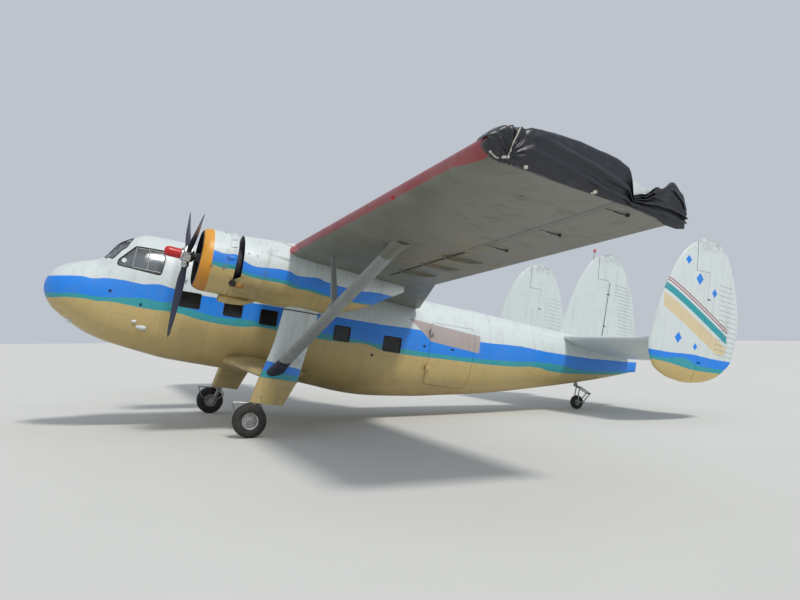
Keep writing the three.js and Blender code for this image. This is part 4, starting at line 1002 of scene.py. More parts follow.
bright_metal = cache(lambda: worn_metal("bright_metal", (0.62, 0.62, 0.6), 0.28, dirt=0.3))
gear_metal = cache(lambda: worn_metal("gear_metal", (0.4, 0.41, 0.41), 0.42, dirt=0.5))
# The engine's near-black is partly its dark metal and partly painted shade inside the cowl.
engine_metal = cache(lambda: worn_metal("engine_metal", (0.045, 0.045, 0.055), 0.55, 0.5, dirt=0.4))
exhaust_metal = cache(lambda: worn_metal("exhaust_metal", (0.42, 0.2, 0.05), 0.6, 0.2, dirt=0.6))
blade_paint = cache(lambda: worn_metal("blade_paint", (0.022, 0.026, 0.055), 0.36, 0.1, dirt=0.15))
dome_paint = cache(lambda: worn_metal("dome_paint", (0.55, 0.012, 0.014), 0.32, 0.0, dirt=0.12))
black_paint = cache(lambda: worn_metal("black_paint", (0.018, 0.018, 0.02), 0.55, 0.0, dirt=0.2))
cabin_lining = cache(lambda: worn_metal("cabin_lining", (0.2, 0.21, 0.2), 0.7, 0.0, dirt=0.4, scale=3))
wheel_metal = cache(lambda: worn_metal("wheel_metal", (0.5, 0.5, 0.49), 0.4, 0.8, dirt=0.5))


@cache
def rubber():
    material, shade, shader = new_material("rubber")
    dust = shade.ramp(shade.noise(shade.level(), 9.0, 6, 0.6), 0.4, 0.7)
    shade.coat(shader, shade.mix(dust, (0.012, 0.012, 0.012, 1), (0.05, 0.043, 0.035, 1)),
        shade.ramp(dust, 0, 1, 0.6, 0.9))
    shade.relief(shader, shade.noise(shade.level(), 160.0, 3), 0.4, 0.001)
    return material


def glass(name, tint, dust_share):
    """Dusty clear plastic."""
    material, shade, shader = new_material(name, Transmission_Weight=0.82, IOR=1.45)
    dust = shade.ramp(shade.noise(shade.level(), 5.0, 7, 0.66), 0.45, 0.75)
    colour = shade.mix(shade.times(dust, dust_share), (*tint, 1), (0.5, 0.5, 0.47, 1))
    shade.coat(shader, colour, shade.ramp(dust, 0, 1, 0.13, 0.3))
    return material


screen_glass = cache(lambda: glass("screen_glass", (0.42, 0.47, 0.5), 0.5))
cabin_glass = cache(lambda: glass("cabin_glass", (0.03, 0.034, 0.04), 0.05))


def weave(shade, scale, across, distortion=0.0):
    """Where the threads of a plain weave stand up."""
    threads = [shade.add("TexWave", {"Vector": shade.level(), "Scale": scale, "Distortion": distortion},
                         bands_direction=way).outputs["Fac"] for way in across]
    return shade.times(*threads)


@cache
def cover_cloth():
    """Black coated sheet with a fine weave and chalky creases."""
    material, shade, shader = new_material("cover_cloth", Coat_Weight=0.25, Coat_Roughness=0.3)
    place = shade.level()
    crease = shade.ramp(shade.noise(place, 6.0, 8, 0.7), 0.55, 0.8)
    threads = weave(shade, 140.0, "YZ", 0.4)
    shade.coat(shader, shade.mix(crease, (0.008, 0.009, 0.016, 1), (0.034, 0.036, 0.048, 1)),
        shade.ramp(crease, 0, 1, 0.33, 0.6))
    shade.relief(shader, shade.plus(shade.times(threads, 0.05), shade.noise(place, 11.0, 5, 0.65)), 0.5,
        0.007)
    return material


@cache
def seat_cloth():
    material, shade, shader = new_material("seat_cloth", Sheen_Weight=0.3)
    threads = weave(shade, 160.0, "XZ")
    shade.coat(shader, shade.mix(threads, (0.02, 0.022, 0.03, 1), (0.07, 0.075, 0.09, 1)),
        shade.ramp(threads, 0, 1, 0.95, 0.8))
    shade.relief(shader, threads, 0.4, 0.001)
    return material


# Stage
def make_camera():
    data = bpy.data.cameras.new("photo_camera")
    data.lens = look().lens
    data.sensor_width = 36.0
    data.clip_end = 500.0
    camera = bpy.data.objects.new("photo_camera", data)
    bpy.context.scene.collection.objects.link(camera)
    yaw, pitch, roll = (radians(v) for v in (CAMERA_YAW, CAMERA_PITCH, CAMERA_ROLL))
    ahead = Vector((-cos(yaw) * cos(pitch), sin(yaw) * cos(pitch), sin(pitch)))
    right = Vector((sin(yaw), cos(yaw), 0))
    up = right.cross(ahead)
    right, up = right * cos(roll) + up * sin(roll), up * cos(roll) - right * sin(roll)
    turn = Matrix((right, up, -ahead)).transposed().to_4x4()
    camera.matrix_world = Matrix.Translation(CAMERA_PLACE) @ turn
    bpy.context.scene.camera = camera


def make_stage():
    bm = bmesh.new()
    bmesh.ops.create_circle(bm, cap_ends=True, radius=160.0, segments=96)
    floor = to_object(bm, "floor_stage")
    material, shade, shader = new_material("stage_floor", Roughness=0.95)
    grain = shade.noise(shade.add("TexCoord").outputs["Object"], 0.35, 4)
    shade.feed(shader.inputs["Base Color"], shade.mix(grain, (0.6, 0.6, 0.57, 1), (0.66, 0.66, 0.63, 1)))
    floor.data.materials.append(material)
    scene = bpy.context.scene
    scene.view_settings.view_transform = "Standard"
    scene.view_settings.look = "None"
    world = bpy.data.worlds.new("studio")
    world.use_nodes = True
    backdrop = world.node_tree.nodes["Background"]
    backdrop.inputs["Color"].default_value = (0.8, 0.86, 0.95, 1)
    backdrop.inputs["Strength"].default_value = look().sky
    scene.world = world
    sun = bpy.data.lights.new("sun", "SUN")
    sun.energy = look().sun
    sun.angle = radians(9)
    sun.color = (1.0, 0.97, 0.92)
    lamp = bpy.data.objects.new("sun", sun)
    lamp.matrix_world = lean_to(Vector((0.6, 0.14, 0.8)))
    scene.collection.objects.link(lamp)


# Fuselage pieces
def skin_or_lining(point):
    """0 for outer faces, 1 for those turned to the cabin."""
    return 1 if depth_in_hull(point) > 0.018 else 0


def make_fuselage():
    """The nose, the cockpit's shell and the tail cone."""
    finish_piece(hull_loft(0.0, NOSE_END - SEAT, step=0.05), "nose_skin", hull_paint(), replaces=["nose"])
    cab = hull_wall(NOSE_END, CAB_END - SEAT)
    openings = [to_object(prism("Z", rounded(SCREEN, 0.035), 0.6, 1.6)),
                to_object(prism("X", rounded(SIDE_WINDOW, 0.06), 0.3, 1.2))]
    combine(cab, "DIFFERENCE", *[mirrored(opening) for opening in openings], *openings)
    coat = [hull_paint(), cabin_lining()]
    finish_piece(cab, "cockpit_skin", coat, replaces=["cockpit_shell"], pick=skin_or_lining)
    cone = hull_loft(CABIN_END, TAIL_END, step=0.1)
    finish_piece(cone, "tail_cone_skin", hull_paint(), replaces=["tail_cone"])


def door_outline(grow):
    width = DOOR["rear"] - DOOR["front"] + 2 * grow
    height = DOOR["head"] - DOOR["sill"] + 2 * grow
    middle = ((DOOR["front"] + DOOR["rear"]) / 2, (DOOR["head"] + DOOR["sill"]) / 2)
    return rounded(rectangle(*middle, width, height), 0.09 + grow, 8)


def make_cabin():
    """The cabin's shell and the door on its two hinges."""
    cabin = hull_wall(CAB_END, CABIN_END - SEAT)
    door = duplicate(cabin)
    windows = [to_object(prism("X", rounded(rectangle(*window), 0.035), -1.5, 1.5))
        for window in CABIN_WINDOWS]
    inner_wing = wing_loft([-CENTRE_HALF, -FILLET["half"], 0, FILLET["half"], CENTRE_HALF], SEAT)
    combine(cabin, "DIFFERENCE", inner_wing, prism("X", door_outline(DOOR["edge"]), 0.3, 1.5))
    combine(cabin, "DIFFERENCE", *windows)
    combine(door, "INTERSECT", prism("X", door_outline(0.0), 0.3, 1.5))
    out, aft, front = DOOR_HINGE["x"], DOOR_HINGE["y"], DOOR["front"]
    inside_skin = partial(hull_loft, CAB_END, CABIN_END, 0.015)

    def lug(z, tall, radius):
        return rod((out, aft, z - tall / 2), (out, aft, z + tall / 2), radius, 24)
    for z in DOOR_HINGE["heights"]:
        for low, high in ((z - 0.064, z - 0.0324), (z + 0.0324, z + 0.064)):
            bracket = to_object(block((0.76, aft - 0.014, low), (out, aft + 0.014, high)))
            combine(bracket, "DIFFERENCE", inside_skin())
            combine(cabin, "UNION", bracket, lug((low + high) / 2, high - low, 0.02))
        combine(cabin, "UNION", lug(z, 0.07, 0.008))
        strap = to_object(block((0.76, aft, z - 0.032), (out + 0.014, front + 0.06, z + 0.032)))
        gap = block((0.66, aft - 0.04, z - 0.04), (out - 0.022, front, z + 0.04))
        combine(strap, "DIFFERENCE", inside_skin(), gap)
        combine(strap, "UNION", lug(z, 0.064, 0.02))
        combine(door, "UNION", strap)
        combine(door, "DIFFERENCE", lug(z, 0.08, 0.0089))
    coat = [hull_paint(), cabin_lining()]
    finish_piece(cabin, "cabin_skin", coat, replaces=["cabin_shell"], pick=skin_or_lining)
    finish_piece(door, "door_skin", coat, "cabin_door", replaces=["cabin_door"], pick=skin_or_lining)


def along_outline(outline, place, step=0.03):
    """Points close together along a closed outline, laid on a surface."""
    spots = []
    for i, corner in enumerate(outline):
        here, there = Vector(corner), Vector(outline[(i + 1) % len(outline)])
        count = max(int((there - here).length / step), 1)
        spots += [place(*here.lerp(there, k / count)) for k in range(count)]
    return spots


def make_glazing():
    screen = prism("Z", scaled(rounded(SCREEN, 0.035), 0.012), 0.6, 1.6)
    window = prism("X", scaled(rounded(SIDE_WINDOW, 0.06), 0.012), 0.3, 1.2)
    for name, cutter, node in (("windscreen_pane", screen, "windscreen"),
                               ("side_window_pane", window, "cockpit_window")):
        pane = combine(hull_wall(NOSE_END + 0.02, CAB_END - 0.02, 0.012, 0.02), "INTERSECT", cutter)
        both(pane, name, screen_glass(), node)
    seals = [tube(along_outline(outline, place), 0.01, 8, loop=True) for outline, place in (
        (rounded(SCREEN, 0.035), lambda x, y: hull_top(x, y, 0.001)),
        (rounded(SIDE_WINDOW, 0.06), lambda y, z: hull_side(y, z, 0.001)))]
    both(seals, "cockpit_seals", black_paint())
    bars = [tube([hull_side(y, z, -0.004) for y, z in line], 0.011, 8) for line in (
        ((1.52, 0.56), (1.54, 0.75), (1.56, 0.96)), ((1.8, 0.53), (1.8, 0.75), (1.8, 0.96)),
        ((1.53, 0.555), (1.78, 0.545), (2.05, 0.535)), ((1.56, 0.955), (1.8, 0.955), (2.07, 0.95)))]
    both(bars, "sliding_frame", strut_paint_and_shade())
    arm, blade = ([hull_top(*spot) for spot in line] for line in (
        ((0.3, 1.085, 0.016), (0.3, 1.2, 0.02), (0.33, 1.36, 0.02)),
        ((0.24, 1.16, 0.016), (0.33, 1.29, 0.018), (0.43, 1.41, 0.016))))
    both([tube(arm, 0.008, 8), tube(blade, 0.009, 6)], "wiper", black_paint())
    vent = turned([(-0.006, 0), (-0.006, 0.045), (0.004, 0.048), (0.008, 0.04), (0.004, 0.0)],
                  hull_side(1.36, 0.665), (0.96, -0.1, 0.25), 32)
    both(vent, "vent", tail_paint())


def make_cabin_windows():
    panes, seals = [], []
    for y, z, width, height in CABIN_WINDOWS:
        outline = rounded(rectangle(y, z, width, height), 0.035)
        panes.append(prism("X", scaled(outline, 0.01), 0.3, 1.2))
        seals.append(tube(along_outline(outline, lambda a, b: hull_side(a, b, 0.0005)), 0.008, 8, loop=True))
    strip = combine(hull_wall(2.4, 7.3, 0.014, 0.022), "INTERSECT", merged(*panes))
    both(strip, "cabin_panes", cabin_glass(), "cabin_glazing")
    both(seals, "cabin_seals", black_paint())


def repaint(node, material):
    """A CAD node that keeps its shape and gets a finish."""
    slots = frame["nodes"][node].data.materials
    slots.clear()
    slots.append(material)


def make_hull_fittings():
    """Small vents, pods, lamps and tubes on the skin, and the tail cone's end."""
    dome = [(-0.02, 0), (-0.02, 0.03), (0.004, 0.028), (0.018, 0.018), (0.024, 0)]
    vents = [turned(dome, hull_side(y, z), (1, 0, 0), 20)
             for y, z in ((1.2, 0.04), (1.79, -0.135), (7.746, -0.069), (6.58, -0.43))]
    vents.append(block(hull_side(8.36, -0.075, -0.01), hull_side(8.47, -0.035, 0.004), 0.004))
    both(vents, "hull_vents", blade_paint())
    bulb = [(-0.05, 0), (-0.04, 0.025), (0.0, 0.034), (0.04, 0.028), (0.055, 0)]
    barrel = [(-0.1, 0), (-0.09, 0.028), (-0.02, 0.042), (0.06, 0.042), (0.09, 0.03), (0.1, 0)]
    pods = [turned(bulb, hull_side(1.72, -0.474), (0.25, 1, 0.05), 20),
            turned(barrel, hull_side(1.87, -0.569), (0.05, 1, 0.0), 20),
            rod(hull_side(2.57, 0.5, -0.02), hull_side(2.55, 0.5, 0.075), 0.022, 20, 0.026)]
    both(pods, "hull_pods", tail_paint())
    lamp = turned([(-0.04, 0), (-0.04, 0.056), (0.015, 0.054), (0.044, 0.034), (0.052, 0)],
                  hull_side(0.567, -0.6) - Vector((0.02, 0, 0.02)), (0.5, -0.55, -0.65), 24)
    finish_piece(lamp, "nose_lamp", tail_paint())
    shut = [[hull_top(0.1 + 0.16 * k / 6, 11.02 + 0.36 * j / 6, 0.004) for k in range(7)] for j in range(7)]
    spine = [plate(shut, 0.004), rod((0.0, 9.12, 0.92), (0.0, 9.12, 1.02), 0.016, 12, 0.01)]
    finish_piece(spine, "spine_fittings", tail_paint())
    stern = []
    for k in range(6):
        share = k / 5
        half, tall = 0.058 * (1 - 0.75 * share ** 2), 0.205 - 0.055 * share
        ring = []
        for a in angles(28):
            c, s = cos(a), sin(a)
            ring.append(Vector((half * c, TAIL_END - 0.004 + 0.204 * share,
                                0.32 - 0.016 * share + tall * copysign(abs(s) ** 0.8, s))))
        stern.append(ring)
    finish_piece(loft(stern), "stern_cap", hull_paint())


CREW_SEAT = {"side": 0.37, "half": 0.22, "base": (1.76, 1.96, 0.13)}


CUSHION = {"swell": 0.022, "waist": 0.045, "channel": 0.007, "groove": 0.008, "channels": (-0.11, 0.0, 0.11)}


def stuffed(pad):
    """Swells a pad as cloth under pressure, no point by more than the given swell."""
    before = [vert.co.copy() for vert in pad.data.vertices]
    settings = pad.modifiers.new("stuffing", "CLOTH").settings
    settings.use_pressure = True
    settings.uniform_pressure_force = 4.0
    settings.effector_weights.gravity = 0.0
    for number in range(1, 21):
        bpy.context.scene.frame_set(number)
    settle(pad)
    bpy.context.scene.frame_set(1)
    for vert, start in zip(pad.data.vertices, before):
        move = vert.co - start
        vert.co = start + move.normalized() * min(move.length, CUSHION["swell"])
    smooth = pad.modifiers.new("smooth", "SUBSURF")
    smooth.levels = smooth.render_levels = 1
    return settle(pad)


def cushion(low, high, facing):
    """A stuffed pad between two corners: its sides drawn in between the corners, sewn channels on the
    side it faces, and a welt round its waist."""
    low, high = Vector(low), Vector(high)
    centre, half = (low + high) / 2, (high - low) / 2
    slack = Vector((0.01, 0.01, 0.01))
    pad = to_object(block(low + slack, high - slack, 0.018))
    remesh = pad.modifiers.new("voxels", "REMESH")
    remesh.mode = "VOXEL"
    remesh.voxel_size = 0.006
    settle(pad)
    stuffed(pad)
    wide = (0, 1 if abs(facing[2]) > 0.5 else 2)
    normals = [vert.normal.copy() for vert in pad.data.vertices]
    for vert, normal in zip(pad.data.vertices, normals):
        shares = [(vert.co[axis] - centre[axis]) / half[axis] for axis in wide]
        away = min(abs(vert.co.x - centre.x - across) for across in CUSHION["channels"])
        sunk = CUSHION["channel"] * exp(-(away / CUSHION["groove"]) ** 2)
        vert.co -= normal * sunk * max(normal.dot(Vector(facing)), 0)
        for axis, other in zip(wide, reversed(shares)):
            drawn = 1 - CUSHION["waist"] * max(1 - other ** 2, 0)
            vert.co[axis] = centre[axis] + (vert.co[axis] - centre[axis]) * drawn

    def on_pad(u, v):
        spot = centre.copy()
        spot[wide[0]], spot[wide[1]] = u, v
        return pad.closest_point_on_mesh(spot)[1]
    outline = rectangle(centre[0], centre[wide[1]], 2 * half[0], 2 * half[wide[1]])
    return pad, tube(along_outline(rounded(outline, 0.03), on_pad), 0.0045, 8, loop=True)


def make_seats():
    """Two crew seats, each a frame with a stuffed squab and back."""
    side, half = CREW_SEAT["side"], CREW_SEAT["half"]
    front, rear, base = CREW_SEAT["base"]
    squab = cushion((side - half, 1.64, -0.33), (side + half, 2.03, -0.235), (0, 0, 1))
    back = cushion((side - half, 2.03, -0.225), (side + half, 2.105, 0.41), (0, -1, 0))
    frame_parts = [block((side - base, front, FLOOR_TOP + SEAT), (side + base, rear, -0.345), 0.008),
                   block((side - half + 0.02, 1.66, -0.35), (side + half - 0.02, 2.06, -0.325), 0.006)]
    for x in (side - half + 0.03, side + half - 0.03):
        frame_parts.append(tube([(x, 1.7, -0.335), (x, 2.07, -0.335), (x, 2.108, -0.28), (x, 2.112, 0.38)],
            0.011, 10))
    both(frame_parts, "seat_frame", gear_metal(), "crew_seat")
    for (pad, welt), stem in ((squab, "seat_squab"), (back, "seat_back")):
        for piece in both(pad, stem, seat_cloth(), sharp=180):
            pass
        both(welt, f"{stem}_welt", black_paint())


def make_fittings():
    """The cabin floor, the panel with its plain dials, and the control columns."""
    repaint("floor", cabin_lining())
    repaint("instrument_panel", black_paint())
    rims, faces = [], []
    for x in (0.22, 0.37, 0.52):
        for z in (0.12, 0.27, 0.42):
            rims.append(turned([(-0.004, 0.058), (-0.004, 0.05), (0.008, 0.05), (0.01, 0.06),
                (-0.004, 0.058)], (x, 1.2005, z), (0, 1, 0), 24))
            faces.append(rod((x, 1.199, z), (x, 1.204, z), 0.049, 24))
            faces.append(block((x - 0.002, 1.2035, z), (x + 0.002, 1.2055, z + 0.034)))
    both(rims, "dial_rims", gear_metal())
    both(faces, "dial_faces", cabin_lining())
    wheel = [(0.37 + 0.12 * sin(a), 1.43, 0.05 + 0.11 * cos(a))
             for a in (radians(50 + 260 * k / 20) for k in range(21))]
    column = [tube([(0.37, 1.42, FLOOR_TOP + 0.002), (0.37, 1.44, -0.3), (0.37, 1.42, 0.02)], 0.016, 12),
              tube(wheel, 0.01, 10), rod((0.37, 1.415, 0.03), (0.37, 1.445, 0.03), 0.03, 20),
              tube([(0.26, 1.43, 0.03), (0.48, 1.43, 0.03)], 0.008, 8)]
    both(column, "control_column", black_paint())


# Wing pieces
def aileron_hinge(x):
    """The hinge at a distance out: the joint's axis, which lies straight above the chord line."""
    lead, trail = wing_line(x)
    flat = lead.lerp(trail, AILERON["hinge"])
    rise = (wing_point(x, AILERON["hinge"]).z - flat.y) / cos(radians(WING["incidence"]))
    return Vector((x, flat.x, flat.y + rise))


def make_wing():
    """The wing's middle and outer parts with their flaps, ailerons and fittings."""
    inner = wing_loft([-CENTRE_HALF, -2.0, -FILLET["half"], 0, FILLET["half"], 2.0, CENTRE_HALF])
    finish_piece(inner, "wing_centre_skin", wing_paint(), replaces=["wing_centre"])
    span = PORT_END - CENTRE_HALF
    whole = to_object(wing_loft([CENTRE_HALF + SEAT + span * k / 12 for k in range(12)] + [PORT_END]))
    flap_line = (FLAP["inner"], FLAP["outer"], FLAP["share"])
    flap = combine(duplicate(whole), "INTERSECT", span_block(*flap_line))
    rest = combine(whole, "DIFFERENCE", span_block(*flap_line, SEAT))
    groove = to_object(prism("Z", [(FLAP["inner"], 5.9), (FLAP["outer"], 5.9), (FLAP["outer"], 5.96),
                                   (FLAP["inner"], 5.96)], 0.0, 3.0))
    lower = []
    for x in (CENTRE_HALF, FLAP["outer"] + 0.1):
        height = wing_point(x, FLAP["share"]).z
        lower.append([Vector((x, *spot)) for spot in ((5, 0), (7.5, 0), (7.5, height), (5, height))])
    combine(groove, "INTERSECT", loft(lower))
    combine(flap, "DIFFERENCE", groove)
    start, end, share = AILERON["inner"], AILERON["outer"], AILERON["hinge"]
    shares = [(x - start) / (end - start) for x in AILERON["arms"]]
    moving, fixed = hinged(rest, aileron_hinge(start), aileron_hinge(end), AILERON["nose"],
                           lambda grow: span_block(start, end, share, grow), shares)
    whole_end = mirrored(fixed)
    outside = [(port_end(3.0), 3.0), (13.0, 3.0), (13.0, 8.0), (port_end(8.0), 8.0)]
    combine(fixed, "DIFFERENCE", prism("Z", outside, 0.0, 3.0))
    both(fixed, "wing_outer_skin", wing_paint(), node="wing_outer", twin=lambda port: whole_end)
    both(flap, "flap_skin", wing_paint(), node="flap")
    both(moving, "aileron_skin", wing_paint(), node="aileron", body="aileron")
    make_wing_fittings()


def port_end(y, beyond=0.0):
    """How far out the slanted end of the port wing lies."""
    lead, trail = wing_line(PORT_END)
    return PORT_END + beyond + (PORT_END_TRAIL - PORT_END) * (y - lead.x) / (trail.x - lead.x)


def make_wing_fittings():
    """Brackets under the ailerons and flaps, a small lamp, and the bare tube by the wing's root."""
    horns, strips = [], []
    for x in AILERON["arms"]:
        root, tail = wing_point(x, 0.715, -1), wing_point(x, 0.8, -1)
        line = (root + Vector((0, 0, 0.004)), root + Vector((0, 0.08, -0.012)),
            tail + Vector((0, -0.02, -0.014)))
        roller = (tail + Vector((-0.018, -0.02, -0.012)), tail + Vector((0.018, -0.02, -0.012)))
        horns += [tube(line, 0.007, 8), rod(*roller, 0.019, 14)]
    both(horns, "aileron_horns", black_paint(), body="aileron")
    for x in (3.9, 4.9, 5.8):
        front, rear = wing_point(x, 0.6, -1), wing_point(x, 0.9, -1)
        outline = [(front.y, front.z + 0.01), (front.y + 0.2, front.z - 0.06), (rear.y - 0.3, rear.z - 0.05),
                   (rear.y, rear.z + 0.008)]
        strips.append(prism("X", outline, x - 0.014, x + 0.014))
    for x in (6.33, 8.2, 9.6):
        strips.append(turned([(-0.004, 0), (-0.004, 0.03), (0.006, 0.024), (0.01, 0)],
                             wing_point(x, 0.35, -1, 0.001), (0, 0, -1), 20))
    both(strips, "flap_guides", wing_paint())
    lamp = turned([(-0.02, 0), (-0.02, 0.028), (0.012, 0.026), (0.028, 0.014), (0.032, 0)],
                  wing_point(8.0, 0.012, -1), (0, -0.5, -0.8), 20)
    finish_piece(lamp, "wing_lamp", dome_paint())
    probes = [tube([(3.06, 4.12, 1.215), (3.06, 4.0, 1.225), (3.06, 3.8, 1.262)], (0.014, 0.012, 0.007), 10),
              rod((3.06, 3.8, 1.262), (3.06, 3.7, 1.281), 0.006, 8)]
    both(probes, "pitot_tube", bright_metal())


def make_wing_tip():
    """The rounded tip of the starboard wing."""
    rings = []
    for k in range(23):
        share = sin(pi / 2 * k / 22)
        x = -(PORT_END + SEAT + (STARBOARD_TIP - PORT_END - SEAT) * share)
        lead, trail = wing_line(x)
        keep = max(sqrt(max(1 - share ** 2.4, 0)), 0.12)
        rings.append(section(x, lead.lerp(trail, 0.5 * (1 - keep)), lead.lerp(trail, 1 - 0.42 * (1 - keep)),
                             AIRFOIL["camber"], AIRFOIL["thickness"] * max(keep, 0.35)))
    finish_piece(loft(rings), "wing_tip_skin", wing_paint(), replaces=["wing_tip_starboard"])


# Engine pieces
THRUST = Vector((0, cos(radians(THRUST_TILT)), -sin(radians(THRUST_TILT))))


def on_disc(bm, angle):
    """Turns a part drawn on the propeller's lower side round the thrust line."""
    turn = Matrix.Rotation(-radians(THRUST_TILT), 4, "X") @ Matrix.Rotation(-angle, 4, "Y")
    return placed(bm, Matrix.Translation(HUB) @ turn)


def round_engine(degrees, y, radius):
    """A point round the thrust line at a station; 0 degrees is outboard, 90 up."""
    middle = HUB.z - tan(radians(THRUST_TILT)) * (y - HUB.y)
    turn = radians(degrees)
    return Vector((HUB.x + radius * cos(turn), y, middle + radius * sin(turn)))


def make_cowls():
    """Both cowls with their gills, aprons, exhausts, blisters and latches."""
    outer = COWL["outer"]
    lip, tail = COWL["front"] - HUB.y, COWL["rear"] - HUB.y - 0.04
    profile = [(lip, outer - 0.095)]
    for turn in (pi / 2 * k / 12 for k in range(1, 13)):
        profile.append((lip + 0.19 * (1 - cos(turn)), outer - 0.095 + 0.095 * sin(turn)))
    profile += [(lip + 0.3, outer - 0.001), (lip + 0.42, outer - 0.006), (tail - 0.1, outer - 0.004),
                (tail, outer), (tail, outer - 0.012), (tail - 0.06, outer - 0.03), (lip + 0.2, outer - 0.03),
                (lip + 0.09, outer - 0.062), (lip + 0.03, outer - 0.088), (lip, outer - 0.095)]

    def lined(point):
        out = hypot(abs(point.x) - HUB.x, point.z - round_engine(0, point.y, 0).z)
        return 1 if out < outer - 0.056 or (out < outer - 0.026 and point.y > COWL["front"] + 0.1) else 0
    both(turned(profile, HUB, THRUST, 72), "cowl_skin", [engine_paint(), black_paint()],
        "cowl", pick=lined, twin=turning_alike)
    rows = ((3.02, 0.5655), (3.075, 0.573), (3.125, 0.596))
    gills = [plate([[round_engine(-26 + 18 * k + 16.5 * i / 6, *row) for i in range(7)] for row in rows],
        0.0025) for k in range(13)]
    both(gills, "cowl_gills", engine_paint())
    apron = [[], [], [], []]
    top, bottom, half = sized(NACELLE, 3.48)
    for t in (i / 16 - 1 for i in range(33)):
        degrees = -90 + 66 * t
        turn = radians(degrees)
        front = round_engine(degrees, 3.12 + 0.13 * abs(t) ** 10, 0.564)
        rear = Vector((HUB.x + (half + 0.004) * cos(turn), 3.48,
                       (top + bottom) / 2 + ((top - bottom) / 2 + 0.004) * sin(turn)))
        for line, share in zip(apron, (0, 0.3, 0.6, 1)):
            line.append(front.lerp(rear, share))
    both(plate(apron, 0.003), "cowl_apron", engine_paint())
    pipe = turned([(-0.006, 0), (-0.006, 0.052), (0.0, 0.054), (0.0, 0.062), (-0.02, 0.064), (-0.09, 0.06),
        (-0.09, 0)], round_engine(-38, 3.135, 0.588), Vector((0.76, -0.3, -0.58)).normalized(), 32)
    both(pipe, "exhaust_pipe", black_paint())
    hood = turned([(-0.02, 0), (-0.015, 0.045), (0.03, 0.056), (0.09, 0.042), (0.13, 0.018), (0.145, 0)],
                  round_engine(-41, 3.215, 0.552), THRUST, 24)
    both(hood, "exhaust_hood", exhaust_metal())
    blister = turned([(-0.1, 0), (-0.085, 0.02), (-0.04, 0.04), (0.01, 0.045), (0.06, 0.034), (0.09, 0)],
                     round_engine(7, 3.06, 0.562), THRUST, 24)
    both(blister, "cowl_blister", engine_paint())
    latches = []
    for degrees, y, radius in ((-12, 2.94, 0.562), (-14, 2.72, 0.566), (-168, 2.94, 0.562),
            (78, 2.94, 0.562)):
        spot = round_engine(degrees, y, radius)
        away = (spot - round_engine(0, y, 0)).normalized()
        drop = THRUST.cross(away) * 0.035
        latches += [turned([(-0.004, 0), (-0.004, 0.018), (0.01, 0.016), (0.013, 0)], spot, away, 16),
                    rod(spot + away * 0.004 - drop, spot + away * 0.004 + drop, 0.006, 8)]
    for y, z in ((3.68, 0.68), (3.5, 0.948), (3.34, 0.966)):
        top, bottom, half = sized(NACELLE, y)
        turn = asin((z - (top + bottom) / 2) / ((top - bottom) / 2))
        spot = (HUB.x + half * cos(turn), y, z)
        latches.append(turned([(-0.004, 0), (-0.004, 0.014), (0.006, 0.012), (0.008, 0)], spot, (1, 0, 0),
            14))
    both(latches, "cowl_latches", gear_metal())


def plate(curves, thickness):
    """A thin plate bent through curves of equally many points."""
    rows, across = len(curves) - 1, len(curves[0]) - 1
    bm = bmesh.new()
    bmesh.ops.create_grid(bm, x_segments=across, y_segments=rows, size=0.5)
    for vert in bm.verts:
        vert.co = curves[round((vert.co.y + 0.5) * rows)][round((vert.co.x + 0.5) * across)]
    bmesh.ops.recalc_face_normals(bm, faces=bm.faces)
    bmesh.ops.solidify(bm, geom=bm.faces[:], thickness=thickness)
    bmesh.ops.recalc_face_normals(bm, faces=bm.faces)
    return bm


def oval(table, y, sides, share=1.0, grow=0.0):
    """A ring of a table's section round the engine's middle plane."""
    top, bottom, half = sized(table, y)
    return [Vector((HUB.x + (share * half + grow) * cos(a), y, (top + bottom) / 2
        + (share * (top - bottom) / 2 + grow) * sin(a))) for a in angles(sides)]


def nacelle_loft(grow=0.0):
    first, last = NACELLE_NOSE, NACELLE[-1][0]
    return loft([oval(NACELLE, first + (last - first) * k / 44, 60, grow=grow) for k in range(45)])


def duct_loft(start, end, share=1.0):
    return loft([oval(DUCT, start + (end - start) * k / 18, 28, share) for k in range(19)])


def make_nacelles():
    """Both nacelles with the oil coolers under them."""
    nacelle = combine(nacelle_loft(), "UNION", duct_loft(2.99, 3.64))
    combine(nacelle, "DIFFERENCE", duct_loft(2.98, 3.11, 0.84))
    core = [duct_loft(3.095, 3.108, 0.83)]
    core += [block((x - 0.002, 3.065, 0.102), (x + 0.002, 3.1, 0.172))
             for x in (HUB.x - 0.045 + 0.015 * k for k in range(7))]
    both(core, "cooler_core", black_paint())
    flap = plate([[Vector((HUB.x + x, 3.3 + 0.2 * k / 4, z - 0.01 * k / 4)) for k in range(5)]
                  for x, z in ((0.075, 0.19), (0.115, 0.176), (0.14, 0.15))], 0.004)
    both(flap, "cooler_flap", engine_paint())
    combine(nacelle, "UNION", block((HUB.x - 0.06, 3.32, 0.16), (HUB.x + 0.06, 3.5, 0.32)))
    lip, tail = COWL["front"] - HUB.y, COWL["rear"] - HUB.y
    drum = turned([(lip, 0), (lip, COWL["outer"] + SEAT), (tail, COWL["outer"] + SEAT), (tail, 0)], HUB,
        THRUST, 72)
    combine(nacelle, "DIFFERENCE", wing_loft([FILLET["half"], CENTRE_HALF], SEAT), drum)
    both(nacelle, "nacelle_skin", [engine_paint(), black_paint()], node="nacelle",
         pick=lambda p: 1 if p.y < NACELLE_NOSE + 0.004 and p.z > 0.24 else 0)


